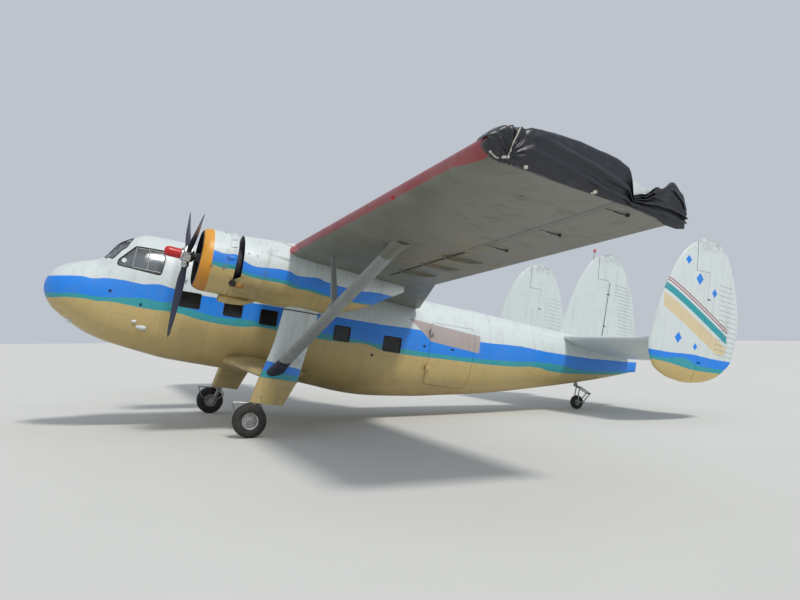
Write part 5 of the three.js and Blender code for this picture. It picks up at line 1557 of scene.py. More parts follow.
def make_engines():
    """Both radial engines: crankcase, nine finned cylinders with their rods, and a ring pipe."""
    firewall = NACELLE[0][0] - HUB.y
    parts = [turned([(0.1204, 0), (0.1204, 0.06), (0.24, 0.095), (0.3, 0.14), (0.36, 0.2), (0.42, 0.215),
        (0.7, 0.215), (0.76, 0.33), (firewall - 0.045, 0.33), (firewall - 0.045, 0)], HUB, THRUST)]
    for angle in (radians(40 * i) for i in range(9)):
        cylinder = [rod((0, 0.56, -low), (0, 0.56, -low - 0.006), 0.088, 20)
                    for low in (0.205 + 0.0165 * k for k in range(13))]
        cylinder += [block((-0.082, 0.458, -low - 0.006), (0.082, 0.662, -low))
                     for low in (0.425 + 0.0165 * k for k in range(6))]
        cylinder += [rod((0, 0.56, -0.18), (0, 0.56, -0.43), 0.066, 16),
            rod((0, 0.56, -0.4), (0, 0.56, -0.522), 0.06, 16)]
        cylinder += [rod((across, 0.4, -0.2), (across, 0.47, -0.47), 0.009, 8) for across in (-0.035, 0.035)]
        parts += [on_disc(part, angle) for part in cylinder]
    ring = [HUB + THRUST * 0.39 + Vector((0.27 * cos(a), 0, 0.27 * sin(a))) for a in angles(40)]
    parts.append(tube(ring, 0.014, 8, loop=True))
    mount = HUB.z - tan(radians(THRUST_TILT)) * firewall
    parts.append(block((HUB.x - 0.18, 3.2, mount - 0.18), (HUB.x + 0.18, NACELLE[0][0] - SEAT,
        mount + 0.18)))
    both(parts, "engine_works", engine_metal(), "engine", twin=turning_alike)


BLADE = (
    (0.09, 0.105, 0.1, 45), (0.23, 0.11, 0.085, 45), (0.43, 0.185, 0.048, 40), (0.76, 0.225, 0.032, 30),
    (1.1, 0.205, 0.022, 22), (1.38, 0.145, 0.015, 18), (1.5, 0.045, 0.007, 16),
)
BLADE_SHOULDER = 1.38


def blade_loft():
    """One propeller blade, pointing down from the hub's middle."""
    rings = []
    tip = PROPELLER["radius"]
    for out in (0.09 + (tip - 0.09) * k / 36 for k in range(37)):
        chord, thick, pitch = sized(BLADE, out)
        if out > BLADE_SHOULDER:
            chord = 0.145 * sqrt(max(1 - ((out - BLADE_SHOULDER) / (tip - BLADE_SHOULDER)) ** 2, 0.02))
        turn = radians(pitch)
        ring = []
        for a in angles(24):
            u, w = chord / 2 * cos(a), thick / 2 * sin(a)
            ring.append(Vector((u * cos(turn) - w * sin(turn), u * sin(turn) + w * cos(turn), -out)))
        rings.append(ring)
    return loft(rings)


def make_propellers():
    """Both propellers: three blades in their sockets, a hub and a red dome."""
    dome = [(-0.4, 0.0), (-0.399, 0.025), (-0.392, 0.05), (-0.38, 0.068), (-0.36, 0.081), (-0.335, 0.088),
            (-0.31, 0.09), (-0.115, 0.09), (-0.112, 0.0)]
    hub = [(-0.112, 0.0), (-0.112, 0.094), (-0.1, 0.1), (-0.082, 0.1), (-0.078, 0.09), (-0.07, 0.112),
        (-0.056, 0.128), (0.056, 0.128), (0.07, 0.112), (0.12, 0.09), (0.12, 0.0)]
    socket = [(0.1, 0.0), (0.1, 0.066), (0.15, 0.066), (0.155, 0.074), (0.185, 0.074), (0.19, 0.062),
        (0.215, 0.062), (0.215, 0.0)]
    metal, blades = [turned(hub, HUB, THRUST, 40)], []
    for i in range(PROPELLER["blades"]):
        angle = radians(PROPELLER["phase"] + 360 * i / PROPELLER["blades"])
        blades.append(on_disc(blade_loft(), angle))
        metal.append(on_disc(turned(socket, (0, 0, 0), (0, 0, -1), 28), angle))
        for x in (-0.076, 0.076):
            metal.append(on_disc(rod((x, -0.03, -0.17), (x, 0.03, -0.17), 0.014, 8), angle))
    for a in angles(8):
        spot = HUB + THRUST * -0.09 + Vector((0.108 * cos(a), 0, 0.108 * sin(a)))
        metal.append(rod(spot - THRUST * 0.012, spot + THRUST * 0.03, 0.009, 6))
    both(blades, "propeller_blades", blade_paint(), "propeller", "propeller",
        twin=turning_alike)
    both(metal, "propeller_hub", bright_metal(), body="propeller", twin=turning_alike)
    both(turned(dome, HUB, THRUST, 40), "propeller_dome", dome_paint(), body="propeller",
         twin=turning_alike)


# Gear pieces
LEG_SHAPE = ((0, 0), (0.01, 0.14), (0.04, 0.28), (0.085, 0.37), (0.14, 0.42), (0.22, 0.47), (0.3, 0.5),
             (0.42, 0.485), (0.55, 0.44), (0.68, 0.35), (0.8, 0.24), (0.9, 0.13), (1.0, 0.03))


def leg_ring(height, lead, trail, thick, grow):
    chord = trail - lead + 2 * grow
    spots = [(LEG_SIDE + w * thick + grow, lead - grow + t * chord) for t, w in LEG_SHAPE[1:]]
    spots += [(LEG_SIDE - w * thick - grow, lead - grow + t * chord) for t, w in reversed(LEG_SHAPE[1:])]
    return [Vector((LEG_SIDE, lead - grow, height))] + [Vector((x, y, height)) for x, y in spots]


def leg_loft(rows, grow=0.0):
    middle = (rows[0][0] + rows[-1][0]) / 2
    return loft([leg_ring(height + copysign(grow, height - middle), *rest, grow) for height, *rest in rows])


def make_legs():
    """Leg fairings, stub wings, black seal bands under the nacelles that are partly painted shade, and the
    studs on the shoes.
    """
    leg = combine(leg_loft(LEG), "DIFFERENCE", nacelle_loft(SEAT))
    both(combine(leg, "UNION", leg_loft(SHOE)), "leg_skin", leg_paint(), node="leg_fairing")
    rings = []
    for x in (0.3 + 2.12 * k / 24 for k in range(25)):
        lead, trail, height, thick = sized(STUB, x)
        rings.append(section(x, (lead, height + 0.02), (trail, height - 0.02), 0.01, thick / (trail - lead)))
    stub = combine(loft(rings), "DIFFERENCE", hull_loft(3.0, 6.0, -SEAT), leg_loft(LEG, SEAT),
                   leg_loft(SHOE, SEAT))
    both(stub, "stub_wing_skin", sand_paint(), "stub_wing")
    # A black band at the leg's top: partly a seal and partly painted shade under the nacelle.
    seal_and_shade = to_object(leg_loft(((0.114, 4.207, 4.866, 0.2474), (0.126, 4.209, 4.868, 0.2476)), 0.004))
    both(combine(seal_and_shade, "DIFFERENCE", nacelle_loft(SEAT)), "leg_seal_and_shade", black_paint())
    spots = ((4.141, -1.277), (4.401, -1.32), (4.02, -1.52), (4.3, -1.56), (4.5, -1.3))
    studs = [rod((LEG_SIDE + way * 0.1, *spot), (LEG_SIDE + way * 0.139, *spot), 0.012, 8)
             for spot in spots for way in (1, -1)]
    both(studs, "shoe_studs", gear_metal())


STRUT_SHAPE = ((-0.4, 0), (-0.392, 0.11), (-0.36, 0.25), (-0.31, 0.345), (-0.25, 0.42), (-0.17, 0.47),
               (-0.1, 0.5), (0.02, 0.49), (0.15, 0.46), (0.28, 0.37), (0.4, 0.26), (0.52, 0.12), (0.6, 0.03))


def strut_loft(stages):
    """A strut through (place, chord, thickness) stages on a straight line."""
    along = (stages[-1][0] - stages[0][0]).normalized()
    aft = (Vector((0, 1, 0)) - along * along.y).normalized()
    across = along.cross(aft).normalized()
    spots = list(STRUT_SHAPE) + [(u, -w) for u, w in reversed(STRUT_SHAPE[1:])]
    return loft([[place + aft * (u * chord) + across * (w * thickness) for u, w in spots]
                 for place, chord, thickness in stages])


def make_struts():
    """Lift struts with their jury struts, cuffs, shoes and fittings."""
    foot, head = Vector(STRUT["foot"]), Vector(STRUT["head"])
    chord, thickness = STRUT["chord"], STRUT["thickness"]

    def stages(*rows):
        return strut_loft([(foot.lerp(head, share), chord + wider, thickness + thicker)
                           for share, wider, thicker in rows])
    main = to_object(stages((-0.015, 0, 0), (1.03, 0, 0)))
    jury_foot = foot.lerp(head, JURY["share"]) - Vector((0, JURY["lead"], 0))
    jury_head = Vector(JURY["head"])
    jury = strut_loft([(jury_foot, JURY["chord"], JURY["thickness"]),
                       (jury_foot.lerp(jury_head, 0.35), 0.115, 0.045), (jury_head, 0.075, 0.036)])
    combine(main, "UNION", jury)
    combine(main, "DIFFERENCE", wing_loft([CENTRE_HALF, PORT_END], SEAT), leg_loft(LEG, SEAT),
        leg_loft(SHOE, SEAT))
    both(main, "lift_strut_skin", strut_paint_and_shade(), "lift_strut")
    cuff = stages((0.915, 0.008, 0.008), (0.925, 0.016, 0.014), (0.965, 0.02, 0.018), (1.0, 0.07, 0.05),
                  (1.03, 0.15, 0.12))
    cuff = combine(cuff, "DIFFERENCE", wing_loft([CENTRE_HALF, PORT_END], SEAT))
    both(cuff, "strut_cuff", wing_paint())
    # The shoe's navy-black is partly its paint and partly painted shade where the strut meets the leg.
    shoe = stages((-0.012, 0.06, 0.05), (0.02, 0.044, 0.036), (0.06, 0.02, 0.016), (0.1, 0.003, 0.003))
    shoe = combine(shoe, "DIFFERENCE", leg_loft(LEG, SEAT), leg_loft(SHOE, SEAT))
    both(shoe, "strut_shoe", blade_paint())
    bolts = [turned([(-0.1, 0), (-0.08, 0.022), (-0.02, 0.04), (0.05, 0.038), (0.12, 0.02), (0.15, 0)],
                    jury_foot + Vector((0, 0.01, -0.02)), (0.0, 1.0, 0.1), 20)]
    for share, across in ((0.33, 0.05), (0.36, -0.02), (0.4, 0.03), (0.07, 0.02), (0.9, 0.03)):
        place = foot.lerp(head, share) + Vector((0.03, across, -0.032))
        bolts.append(rod(place + Vector((-0.012, 0, 0.016)), place + Vector((0.008, 0, -0.01)), 0.01, 8))
    both(bolts, "strut_fittings", strut_paint_and_shade())


def make_axle_legs():
    """The sprung legs with their axles, links and brake pipes."""
    side, station, height = OLEO["side"], MAIN_WHEEL["station"], MAIN_WHEEL["height"]
    end = MAIN_WHEEL["side"] + MAIN_WHEEL["width"] / 2 + 0.02
    parts = [rod((side, station + 0.17, SHOE[1][0] - SEAT), (side, station + 0.06, height + 0.04),
        OLEO["radius"], 32), rod((side - 0.055, station, height), (side + 0.045, station, height), 0.07, 36),
        rod((side, station, height), (end, station, height), AXLE, 32)]
    for x in (side - 0.05, side + 0.03):
        parts.append(tube([(x, station + 0.21, -1.7), (x, station + 0.27, -1.8), (x, station + 0.1, -1.95)],
            0.012, 8))
    bar = side + 0.028
    parts += [tube([(bar, 4.02, -1.645), (bar, 3.7, -1.672), (bar, 3.56, -1.685)], 0.013, 10),
        tube([(bar, 3.545, -1.665), (bar, 3.6, -1.8), (bar, 3.66, -1.9), (bar, 3.82, -1.965)], 0.012, 10),
        rod((bar - 0.05, 3.555, -1.682), (bar + 0.012, 3.555, -1.682), 0.02, 12)]
    both(parts, "axle_leg_works", gear_metal(), "axle_leg")
    hose = [(side - x, station + y, z) for x, y, z in ((0.03, 0.12, -1.645), (0.065, 0.14, -1.72),
        (0.062, 0.1, -1.82), (0.05, 0.03, -1.9), (0.04, 0, -1.94))]
    both(tube(hose, 0.007, 8), "brake_pipe", black_paint())


def wheel_parts(size):
    """A tyre with rounded shoulders and grooves, and its dished wheel, round a centre."""
    hub = Vector((size["side"], size["station"], size["height"]))
    radius, rim, half = size["radius"], size["rim"], size["width"] / 2
    right = []
    for turn in (radians(-62 + 152 * k / 14) for k in range(15)):
        out = rim + (radius - rim) * (0.42 + 0.58 * sin(turn))
        right.append((half * (0.42 + 0.58 * max(cos(turn), 0)), max(out, rim)))
    for at in (0.34, 0.12):
        for step, deep in ((0.05, 0), (0.035, 0.009), (-0.035, 0.009), (-0.05, 0)):
            right.append((half * (at + step), radius - deep * radius / MAIN_WHEEL["radius"]))
    tyre = turned(right + [(-a, r) for a, r in reversed(right)] + [right[0]], hub, (1, 0, 0), 72)
    bore = FORK["axle"] + 0.0009 if size is TAIL_WHEEL else AXLE + 0.001
    dish = [(-half * 0.62, bore), (-half * 0.58, 0.35 * rim), (-half * 0.3, 0.45 * rim),
        (-half * 0.28, 0.74 * rim), (-half * 0.7, 0.86 * rim), (-half * 0.76, rim - SEAT)]
    metal = [turned(dish + [(-a, r) for a, r in reversed(dish)] + [dish[0]], hub, (1, 0, 0), 60)]
    for a in angles(8):
        spot = hub + Vector((0, 0.6 * rim * cos(a), 0.6 * rim * sin(a)))
        metal += [rod(spot + Vector((way * half * 0.24, 0, 0)), spot + Vector((way * half * 0.38, 0, 0)),
            0.055 * rim, 6) for way in (-1, 1)]
    return tyre, metal


def make_wheels():
    """All wheels with their tyres."""
    tyre, wheel = wheel_parts(MAIN_WHEEL)
    both(tyre, "tyre_tread", rubber(), "tyre", "wheel")
    both(wheel, "wheel_rim", wheel_metal(), "wheel", "wheel")
    tyre, wheel = wheel_parts(TAIL_WHEEL)
    finish_piece(tyre, "tail_tyre_tread", rubber(), "tail_wheel", ["tail_tyre"])
    finish_piece(wheel, "tail_wheel_rim", wheel_metal(), "tail_wheel", ["tail_wheel"])


def make_tail_gear():
    """A short post with its collar, and the castoring fork with its knee links."""
    foot = Vector((0, CASTOR["station"], CASTOR["bottom"]))
    plumb = ROW_TO_LEVEL.to_3x3() @ Vector((0, 0, 1))
    top, radius, crown = CASTOR["top"] - CASTOR["bottom"], CASTOR["radius"], -CASTOR["crown"]
    post = turned([(0, 0), (0, radius), (0.014, radius + 0.004), (0.026, radius + 0.004),
        (0.032, radius - 0.008), (top, radius - 0.008), (top, 0)], foot, plumb, 32)
    leg = combine(post, "DIFFERENCE", hull_loft(CABIN_END, TAIL_END, -SEAT))
    finish_piece(leg, "tail_post", gear_metal(), "root", ["tail_leg"])
    yoke, knee, bend, side = FORK["yoke"], FORK["knee"], FORK["bend"], FORK["side"]
    axle = (TAIL_WHEEL["station"], TAIL_WHEEL["height"])
    parts = [turned([(crown, 0), (crown, radius), (crown + 0.006, radius + 0.004), (-0.006, radius + 0.004),
                     (-SEAT, radius), (-SEAT, 0)], foot, plumb, 32),
             tube([foot + plumb * (crown * 0.6), Vector((0, *yoke))], (0.034, 0.026), 16)]
    for end, beyond, thick in ((yoke, 0.014, 0.019), (axle, 0.02, FORK["axle"]), (knee, 0.018, 0.018)):
        parts.append(rod((-side - beyond, *end), (side + beyond, *end), thick, 16))
    for x in (-side, side):
        parts += [tube([(x, *yoke), (x, yoke[0] - 0.02, -0.6), (x, *axle)], (0.015, 0.015, 0.014), 14),
                  tube([(x, yoke[0] + 0.01, yoke[1] + 0.005), (x, *knee)], (0.017, 0.014), 12),
                  tube([(x, *knee), (x, *bend), (x, *axle)], (0.014, 0.014, 0.014), 12)]
        parts += [rod((x - 0.0145, *spot), (x + 0.0145, *spot), 0.026, 16) for spot in (axle, bend)]
    finish_piece(parts, "tail_fork_works", gear_metal(), "tail_castor", ["tail_fork"])


# Tail pieces
def fin_loft(rows, x, grow=0.0):
    rings = []
    low, high = rows[0][0], rows[-1][0]
    steps = 46
    for k in range(steps + 1):
        z = (low + high) / 2 - (high - low) / 2 * cos(pi * k / steps)
        lead, trail = eased(rows, 1, z), eased(rows, 2, z)
        chord = trail - lead
        end = min(z - low if low < 0 else 1, high - z)
        blunt = min(1, 0.25 + sqrt(max(end, 0) / 0.16) * 0.75)
        thickness = FIN_THICKNESS * min(1, 0.55 + chord / 4.5) * blunt
        flat = section(0, (lead, 0), (trail, 0), 0, thickness, grow, 20)
        rings.append([Vector((x + p.z, p.y, z)) for p in flat])
    return loft(rings)


def make_fin(rows, x, rudder):
    whole = to_object(fin_loft(rows, x))
    (low_y, low_z), (high_y, high_z) = rudder["low"], rudder["high"]

    def line_at(z):
        return low_y + (z - low_z) * (high_y - low_y) / (high_z - low_z)

    def behind(grow):
        foot, horn_foot = rudder["foot"] - grow, rudder["horn_foot"] - grow
        horn = rudder["horn"] - 1.5 * grow
        return prism("X", [(line_at(rudder["foot"]), foot), (line_at(rudder["horn_foot"]), horn_foot),
                           (horn, horn_foot), (horn, 4.0), (15.0, 4.0), (15.0, foot)], x - 0.4, x + 0.4)
    start = max(rudder["foot"], rows[0][0])
    low = Vector((x, line_at(start), start))
    high = Vector((x, line_at(rudder["horn_foot"]), rudder["horn_foot"]))
    shares = [(z - low.z) / (high.z - low.z) for z in rudder["arms"]]
    return hinged(whole, low, high, RUDDER_NOSE, behind, shares)


def rib(rows, x, z, length, way):
    """A line along one face of a rudder, from near its trailing edge forwards."""
    lead, trail = sized(rows, z)
    flat = section(0, (lead, 0), (trail, 0), 0, FIN_THICKNESS * min(1, 0.55 + (trail - lead) / 4.5))
    line = []
    for y in (trail - 0.05 - length * i / 5 for i in range(6)):
        near = min(flat, key=lambda p: abs(p.y - y) + (0 if p.z > 0 else 9))
        line.append((x + way * near.z, near.y, z + 0.06 * (trail - near.y)))
    return line


def make_fins():
    """The three fins and rudders, the ribs on the rudders, and the beacon on its mast."""
    half = TAILPLANE["half"]
    moving, fixed = make_fin(OUTER_FIN, half, OUTER_RUDDER)
    both(fixed, "fin_skin", fin_paint(), node="fin")
    both(moving, "rudder_skin", fin_paint(), node="rudder", body="rudder")
    moving, fixed = make_fin(CENTRE_FIN, 0.0, CENTRE_RUDDER)
    combine(fixed, "DIFFERENCE", hull_loft(CABIN_END, TAIL_END, -SEAT))
    finish_piece(fixed, "fin_centre_skin", tail_paint(), replaces=["fin_centre"])
    finish_piece(moving, "rudder_centre_skin", tail_paint(), "rudder_centre", replaces=["rudder_centre"])
    lamp = Vector((0, 12.29, 2.935))
    mast = [rod((0, 12.29, 2.4), lamp, 0.012, 16), rod(lamp - Vector((0, 0, 0.006)),
        lamp + Vector((0, 0, 0.012)), 0.034, 24)]
    finish_piece(mast, "beacon_mast", bright_metal())
    beacon = turned([(0.012, 0), (0.012, 0.032), (0.055, 0.032), (0.078, 0.02), (0.086, 0)], lamp, (0, 0, 1),
        24)
    finish_piece(beacon, "beacon", dome_paint())
    for x, rows, lowest, apart, body in ((half, OUTER_FIN, 0.56, 0.105, "rudder_port"),
                                         (-half, OUTER_FIN, 0.56, 0.105, "rudder_starboard"),
                                         (0.0, CENTRE_FIN, 1.0, 0.085, "rudder_centre")):
        ribs = [tube(rib(rows, x, lowest + apart * k, 0.42 + 0.16 * (1 - k / 14), way), 0.0034, 6)
                for k in range(15) for way in (1, -1)]
        finish_piece(ribs, f"{body}_ribs", strut_paint_and_shade(), body)


def make_tailplane():
    """The tailplane and the elevators."""
    half = TAILPLANE["half"]
    (front, top), (rear, bottom) = TAILPLANE["root"], TAILPLANE["trailing"]
    whole = to_object(loft([section(x, lead, TAILPLANE["trailing"], 0, TAILPLANE_THICKNESS)
                            for x, lead in ((0, TAILPLANE["root"]), (half, TAILPLANE["tip"]))]))
    hinge, inner, outer, end = (ELEVATOR[key] for key in ("hinge", "inner", "outer_front", "outer_rear"))
    height = top + (hinge - front) * (bottom - top) / (rear - front)
    low, high = Vector((inner, hinge, height)), Vector((outer, hinge, height))
    shares = [(x - inner) / (outer - inner) for x in ELEVATOR["arms"]]

    def behind(grow):
        return prism("Z", [(inner - grow, hinge), (outer + grow, hinge), (end + grow, 14.0),
            (inner - grow, 14.0)], -0.5, 1.5)
    moving, fixed = hinged(whole, low, high, ELEVATOR["nose"], behind, shares)
    waste = prism("Z", [(outer - 0.02, hinge - 0.03), (half + 0.2, hinge - 0.03), (half + 0.2, 14.0),
                        (end - 0.4, 14.0)], -0.5, 1.5)
    combine(fixed, "DIFFERENCE", hull_loft(CABIN_END, TAIL_END, -SEAT), fin_loft(OUTER_FIN, half, SEAT),
        waste)
    both(fixed, "tailplane_skin", tail_paint(), node="tailplane")
    both(moving, "elevator_skin", tail_paint(), node="elevator", body="elevator")


# The sheet tied over the blunt end of the port wing
# share of the chord, then points from the lower hem out, up the end and in over the top, each as
# (distance beyond the end, share of the end's height, metres above that)
COVER = (
    (0.0, (-0.1, 0.0, -0.02), (-0.04, 0.0, -0.022), (0.025, 0.2, -0.01), (0.04, 0.5, 0.0),
     (0.028, 0.8, 0.01), (-0.06, 1.0, 0.02), (-0.2, 1.0, 0.016)),
    (0.06, (-0.12, 0.0, -0.014), (-0.02, 0.0, -0.02), (0.035, 0.3, 0.0), (0.05, 0.6, 0.0),
     (0.03, 1.0, 0.01), (-0.1, 1.0, 0.03), (-0.3, 1.0, 0.016)),
    (0.11, (-0.07, 0.0, -0.013), (-0.01, 0.0, -0.018), (0.02, 0.3, 0.0), (0.024, 0.6, 0.0),
     (0.012, 1.0, 0.0), (-0.1, 1.0, 0.014), (-0.34, 1.0, 0.014)),
    (0.22, (-0.06, 0.0, -0.013), (0.01, 0.0, -0.02), (0.05, 0.3, 0.0), (0.062, 0.6, 0.0),
     (0.03, 1.0, 0.01), (-0.12, 1.0, 0.022), (-0.36, 1.0, 0.016)),
    (0.45, (-0.06, 0.0, -0.014), (0.01, 0.0, -0.026), (0.052, 0.3, -0.02), (0.058, 0.6, 0.0),
     (0.02, 1.0, 0.03), (-0.13, 1.0, 0.05), (-0.34, 1.0, 0.016)),
    (0.6, (-0.05, 0.0, -0.014), (0.01, 0.0, -0.028), (0.042, 0.2, -0.02), (0.048, 0.5, 0.0),
     (0.014, 1.0, 0.06), (-0.13, 1.0, 0.085), (-0.34, 1.0, 0.016)),
    (0.655, (-0.05, 0.0, -0.014), (0.008, 0.0, -0.028), (0.034, 0.2, -0.02), (0.036, 0.5, 0.0),
     (0.012, 1.0, 0.05), (-0.12, 1.0, 0.075), (-0.32, 1.0, 0.016)),
    (0.7, (-0.05, 0.0, -0.014), (0.006, 0.0, -0.028), (0.024, 0.1, -0.02), (0.03, 0.17, 0.0),
     (0.026, 0.24, 0.0), (0.02, 0.3, 0.0), (0.014, 0.36, 0.0)),
    (0.745, (-0.08, 0.0, -0.016), (0.004, 0.0, -0.04), (0.026, 0.1, -0.02), (0.034, 0.22, 0.0),
     (0.03, 0.34, 0.0), (0.024, 0.46, 0.0), (0.018, 0.56, 0.0)),
    (0.83, (-0.04, 0.0, -0.05), (0.006, 0.0, -0.06), (0.034, 0.1, -0.02), (0.05, 0.4, 0.0),
     (0.03, 0.8, 0.02), (0.05, 1.0, 0.04), (0.015, 1.0, 0.08)),
    (0.91, (-0.03, 0.0, -0.1), (0.008, 0.0, -0.095), (0.044, 0.1, -0.03), (0.05, 0.5, 0.02),
     (0.012, 1.0, 0.08), (0.048, 1.0, 0.19), (0.0, 1.0, 0.28)),
    (0.96, (-0.02, 0.0, -0.105), (0.01, 0.0, -0.1), (0.04, 0.1, -0.03), (0.048, 0.5, 0.02),
     (0.014, 1.0, 0.07), (0.042, 1.0, 0.16), (0.006, 1.0, 0.22)),
    (1.0, (0.0, 0.0, -0.07), (0.014, 0.0, -0.08), (0.028, 0.3, -0.03), (0.034, 0.5, 0.01),
     (0.02, 1.0, 0.04), (0.028, 1.0, 0.07), (0.01, 1.0, 0.09)),
)


def make_cover():
    """One sheet over the wing's open end, gathered where it is tied, its rear corner standing loose."""
    bm = bmesh.new()
    bmesh.ops.create_grid(bm, x_segments=90, y_segments=170, size=0.5)
    for vert in bm.verts:
        vert.co = cover_point(vert.co.x + 0.5, vert.co.y + 0.5)
    bmesh.ops.recalc_face_normals(bm, faces=bm.faces)
    sheet = to_object(bm)
    sheet.modifiers.new("thickness", "SOLIDIFY").thickness = 0.0016
    finish_piece(sheet, "wing_cover_sheet", cover_cloth(), "root", ["wing_end_cover"],
        sharp=180)
    eyelets, runs = [], []
    for v in (0.23, 0.36, 0.66):
        spot = cover_point(0.2, v) + Vector((0.014, 0, 0))
        for turn in (-0.7, 0.3, 1.2):
            lean = Vector((0.004, 0.022 * cos(turn), 0.022 * sin(turn)))
            eyelets.append(tube([spot - lean, spot, spot + lean], (0.006, 0.011, 0.006), 8))
    knots = finish_piece(eyelets, "cover_knots", cord_fibre())
    for spots in (((0.22, 0.255), (0.36, 0.258), (0.52, 0.272), (0.7, 0.3), (0.8, 0.335), (0.86, 0.35)),
                  ((0.16, 0.12), (0.15, 0.18), (0.18, 0.23)), ((0.05, 0.63), (0.12, 0.645), (0.2, 0.66))):
        line = [cover_point(u0 + (u1 - u0) * k / 5, v0 + (v1 - v0) * k / 5) + Vector((0.01, -0.002, 0.003))
                for (u0, v0), (u1, v1) in zip(spots, spots[1:]) for k in range(5)]
        runs.append(tube(line, 0.0075, 8))
        runs += [turned([(-0.016, 0), (-0.01, 0.012), (0, 0.016), (0.01, 0.012), (0.016, 0)], end,
            (0.3, 1, 0.2), 12) for end in (line[0], line[-1])]
    band = finish_piece(runs, "cover_cord", cord_fibre())


def cover_point(u, v):
    """u runs from the lower hem out, up the end and in over the top; v from the leading edge aft."""
    share = v ** 1.7 if v < 0.6 else 0.4196 + 0.5804 * (v - 0.6) / 0.4
    upper = min(next((k for k, row in enumerate(COVER) if row[0] > share), len(COVER) - 1), len(COVER) - 1)
    before, after = COVER[max(upper - 1, 0)], COVER[upper]
    t = (share - before[0]) / max(after[0] - before[0], 0.001)
    t = min(max(t, 0), 1)
    t = t * t * (3 - 2 * t)
    place = 1 + u * 6
    i = min(int(place), 6)
    rest = place - i
    spots = []
    for row in (before, after):
        p0, p1, p2, p3 = (Vector(row[min(max(i + k, 1), 7)]) for k in (-1, 0, 1, 2))
        spots.append(0.5 * (2 * p1 + (p2 - p0) * rest + (2 * p0 - 5 * p1 + 4 * p2 - p3) * rest ** 2
                            + (3 * p1 - p0 - 3 * p2 + p3) * rest ** 3))
    beyond, rise, lift = spots[0].lerp(spots[1], t)
    skin = min(share, 0.995)
    x = port_end(wing_point(PORT_END, skin).y) + beyond
    low, high = wing_point(x, skin, -1), wing_point(x, skin, 1)
    spot = low.lerp(high, min(max(rise, 0), 1)) + Vector((0, 0, lift))
    spot.x = x
    spot.y -= 0.016 * max(1 - share / 0.03, 0)
    near_knot = exp(-((share - 0.1) / 0.06) ** 2)
    drawn = 1 / (1 + exp(-(share - 0.34) / 0.07))
    long_folds = sin((30 + 14 * v) * u + 2.4 * noise.noise(Vector((1.4 * u, 2 * v, 0.4))))
    ridges = max(long_folds, -0.45) * (0.004 + 0.03 * drawn) * (1.0 if u > 0.3 else 0.5)
    rays = sin(15 * atan2(u - 0.25, 3 * (v - 0.26)) + 3 * noise.noise(Vector((4 * u, 4 * v, 2.2))))
    rays *= 0.02 * near_knot
    soft = noise.noise(Vector((3.0 * u, 7.0 * v, 0.3))) * 0.012
    soft += noise.noise(Vector((9 * u, 26 * v, 1.7))) * 0.006
    off = max(ridges + rays + soft, -0.008 if share < 0.66 or u < 0.4 else -0.02)
    free = min(u / 0.12, (1 - u) / 0.12, 1)
    outward = Vector((cos(1.57 * (2 * rise - 1)), 0, sin(1.57 * (2 * rise - 1))))
    return spot + outward * off * (0.35 + 0.65 * free)


@cache
def cord_fibre():
    """Pale twisted cord."""
    material, shade, shader = new_material("cord_fibre", Roughness=0.85)
    twist = shade.add("TexWave", {"Vector": shade.level(), "Scale": 60.0, "Distortion": 1.0},
                      bands_direction="DIAGONAL").outputs["Fac"]
    shade.feed(shader.inputs["Base Color"], shade.mix(twist, (0.3, 0.3, 0.26, 1), (0.66, 0.66, 0.58, 1)))
    shade.relief(shader, twist, 0.6, 0.001)
    return material


# Settings, operators and panel
def colour_setting(name, description, default):
    return FloatVectorProperty(name=name, description=description, subtype="COLOR", default=default, min=0,
        max=1)


class AircraftLook(bpy.types.PropertyGroup):
    """Colours and light that a user may change."""

    white: colour_setting("White", "Main paint", (0.62, 0.68, 0.68))
    azure: colour_setting("Azure", "Upper band", (0.004, 0.215, 0.78))
    teal: colour_setting("Teal", "Middle band", (0.018, 0.31, 0.36))
    sand: colour_setting("Sand", "Lower paint", (0.52, 0.39, 0.155))
    orange: colour_setting("Orange", "Cowl rings", (0.74, 0.32, 0.012))
    red: colour_setting("Red", "Leading edges", (0.3, 0.018, 0.028))
    lens: FloatProperty(name="Lens", description="Camera lens", subtype="DISTANCE_CAMERA",
        default=CAMERA_LENS)
    sky: FloatProperty(name="Sky", description="Strength of the soft light all round", default=0.64, min=0)
    sun: FloatProperty(name="Sun", description="Strength of the main light", default=2.1, min=0)


class AIRCRAFT_OT_stage(bpy.types.Operator):
    """Sets the camera and lays a pale floor under soft light."""

    bl_idname = "aircraft.stage"
    bl_label = "Camera, floor and light"

    def execute(self, context):
        make_camera()
        make_stage()
        return {"FINISHED"}


class AIRCRAFT_OT_fuselage(bpy.types.Operator):
    """Makes the nose, cockpit, tail cone, cabin and hinged door."""

    bl_idname = "aircraft.fuselage"
    bl_label = "Fuselage"

    def execute(self, context):
        make_fuselage()
        make_cabin()
        return {"FINISHED"}


class AIRCRAFT_OT_glazing(bpy.types.Operator):
    """Makes the panes, seals and frames of cockpit and cabin."""

    bl_idname = "aircraft.glazing"
    bl_label = "Glazing"

    def execute(self, context):
        make_glazing()
        make_cabin_windows()
        return {"FINISHED"}


class AIRCRAFT_OT_interior(bpy.types.Operator):
    """Makes the dials, control columns and stuffed crew seats."""

    bl_idname = "aircraft.interior"
    bl_label = "Interior"

    def execute(self, context):
        make_fittings()
        make_seats()
        return {"FINISHED"}


class AIRCRAFT_OT_hull_fittings(bpy.types.Operator):
    """Makes the vents, pods and lamps on the fuselage."""

    bl_idname = "aircraft.hull_fittings"
    bl_label = "Hull fittings"

    def execute(self, context):
        make_hull_fittings()
        return {"FINISHED"}


class AIRCRAFT_OT_wing(bpy.types.Operator):
    """Makes the wing with its flaps, ailerons and tip."""

    bl_idname = "aircraft.wing"
    bl_label = "Wing"

    def execute(self, context):
        make_wing()
        make_wing_tip()
        return {"FINISHED"}


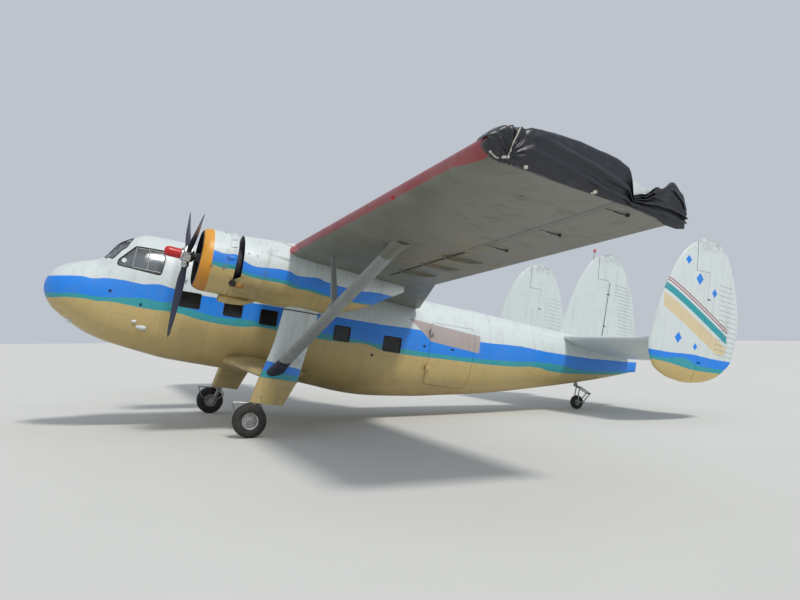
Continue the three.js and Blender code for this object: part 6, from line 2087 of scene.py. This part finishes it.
class AIRCRAFT_OT_engines(bpy.types.Operator):
    """Makes both engines in their cowls and nacelles."""

    bl_idname = "aircraft.engines"
    bl_label = "Engines"

    def execute(self, context):
        make_cowls()
        make_nacelles()
        make_engines()
        return {"FINISHED"}


class AIRCRAFT_OT_propellers(bpy.types.Operator):
    """Makes both propellers."""

    bl_idname = "aircraft.propellers"
    bl_label = "Propellers"

    def execute(self, context):
        make_propellers()
        return {"FINISHED"}


class AIRCRAFT_OT_legs(bpy.types.Operator):
    """Makes the leg fairings, stub wings, lift struts and jury struts."""

    bl_idname = "aircraft.legs"
    bl_label = "Legs and struts"

    def execute(self, context):
        make_legs()
        make_struts()
        return {"FINISHED"}


class AIRCRAFT_OT_wheels(bpy.types.Operator):
    """Makes the sprung legs and all wheels."""

    bl_idname = "aircraft.wheels"
    bl_label = "Wheels"

    def execute(self, context):
        make_axle_legs()
        make_wheels()
        return {"FINISHED"}


class AIRCRAFT_OT_tail_gear(bpy.types.Operator):
    """Makes the tail leg and fork."""

    bl_idname = "aircraft.tail_gear"
    bl_label = "Tail gear"

    def execute(self, context):
        make_tail_gear()
        return {"FINISHED"}


class AIRCRAFT_OT_tail(bpy.types.Operator):
    """Makes the tailplane, fins, elevators and rudders."""

    bl_idname = "aircraft.tail"
    bl_label = "Tail"

    def execute(self, context):
        make_tailplane()
        make_fins()
        return {"FINISHED"}


class AIRCRAFT_OT_cover(bpy.types.Operator):
    """Ties the sheet over the wing's blunt end."""

    bl_idname = "aircraft.cover"
    bl_label = "Wing cover"

    def execute(self, context):
        make_cover()
        return {"FINISHED"}


OPERATORS = (
    AIRCRAFT_OT_stage, AIRCRAFT_OT_fuselage, AIRCRAFT_OT_glazing, AIRCRAFT_OT_interior,
    AIRCRAFT_OT_hull_fittings, AIRCRAFT_OT_wing, AIRCRAFT_OT_engines, AIRCRAFT_OT_propellers,
    AIRCRAFT_OT_legs, AIRCRAFT_OT_wheels, AIRCRAFT_OT_tail_gear, AIRCRAFT_OT_tail, AIRCRAFT_OT_cover,
)


class AIRCRAFT_PT_sidebar(bpy.types.Panel):
    """Lists the settings and every step."""

    bl_label = "Parked aircraft"
    bl_idname = "AIRCRAFT_PT_sidebar"
    bl_space_type = "VIEW_3D"
    bl_region_type = "UI"
    bl_category = "Aircraft"

    def draw(self, context):
        settings = context.scene.aircraft_look
        for name in settings.bl_rna.properties.keys():
            if name not in ("rna_type", "name"):
                self.layout.prop(settings, name)
        for operator in OPERATORS:
            self.layout.operator(operator.bl_idname)


CLASSES = [AircraftLook, *OPERATORS, AIRCRAFT_PT_sidebar]


def register():
    for each in CLASSES:
        bpy.utils.register_class(each)
    bpy.types.Scene.aircraft_look = PointerProperty(type=AircraftLook)


def unregister():
    del bpy.types.Scene.aircraft_look
    for each in reversed(CLASSES):
        bpy.utils.unregister_class(each)


def main():
    register()
    for operator in OPERATORS:
        getattr(bpy.ops.aircraft, operator.bl_idname.split(".")[1])()
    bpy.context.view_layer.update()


if __name__ == "__main__":
    main()
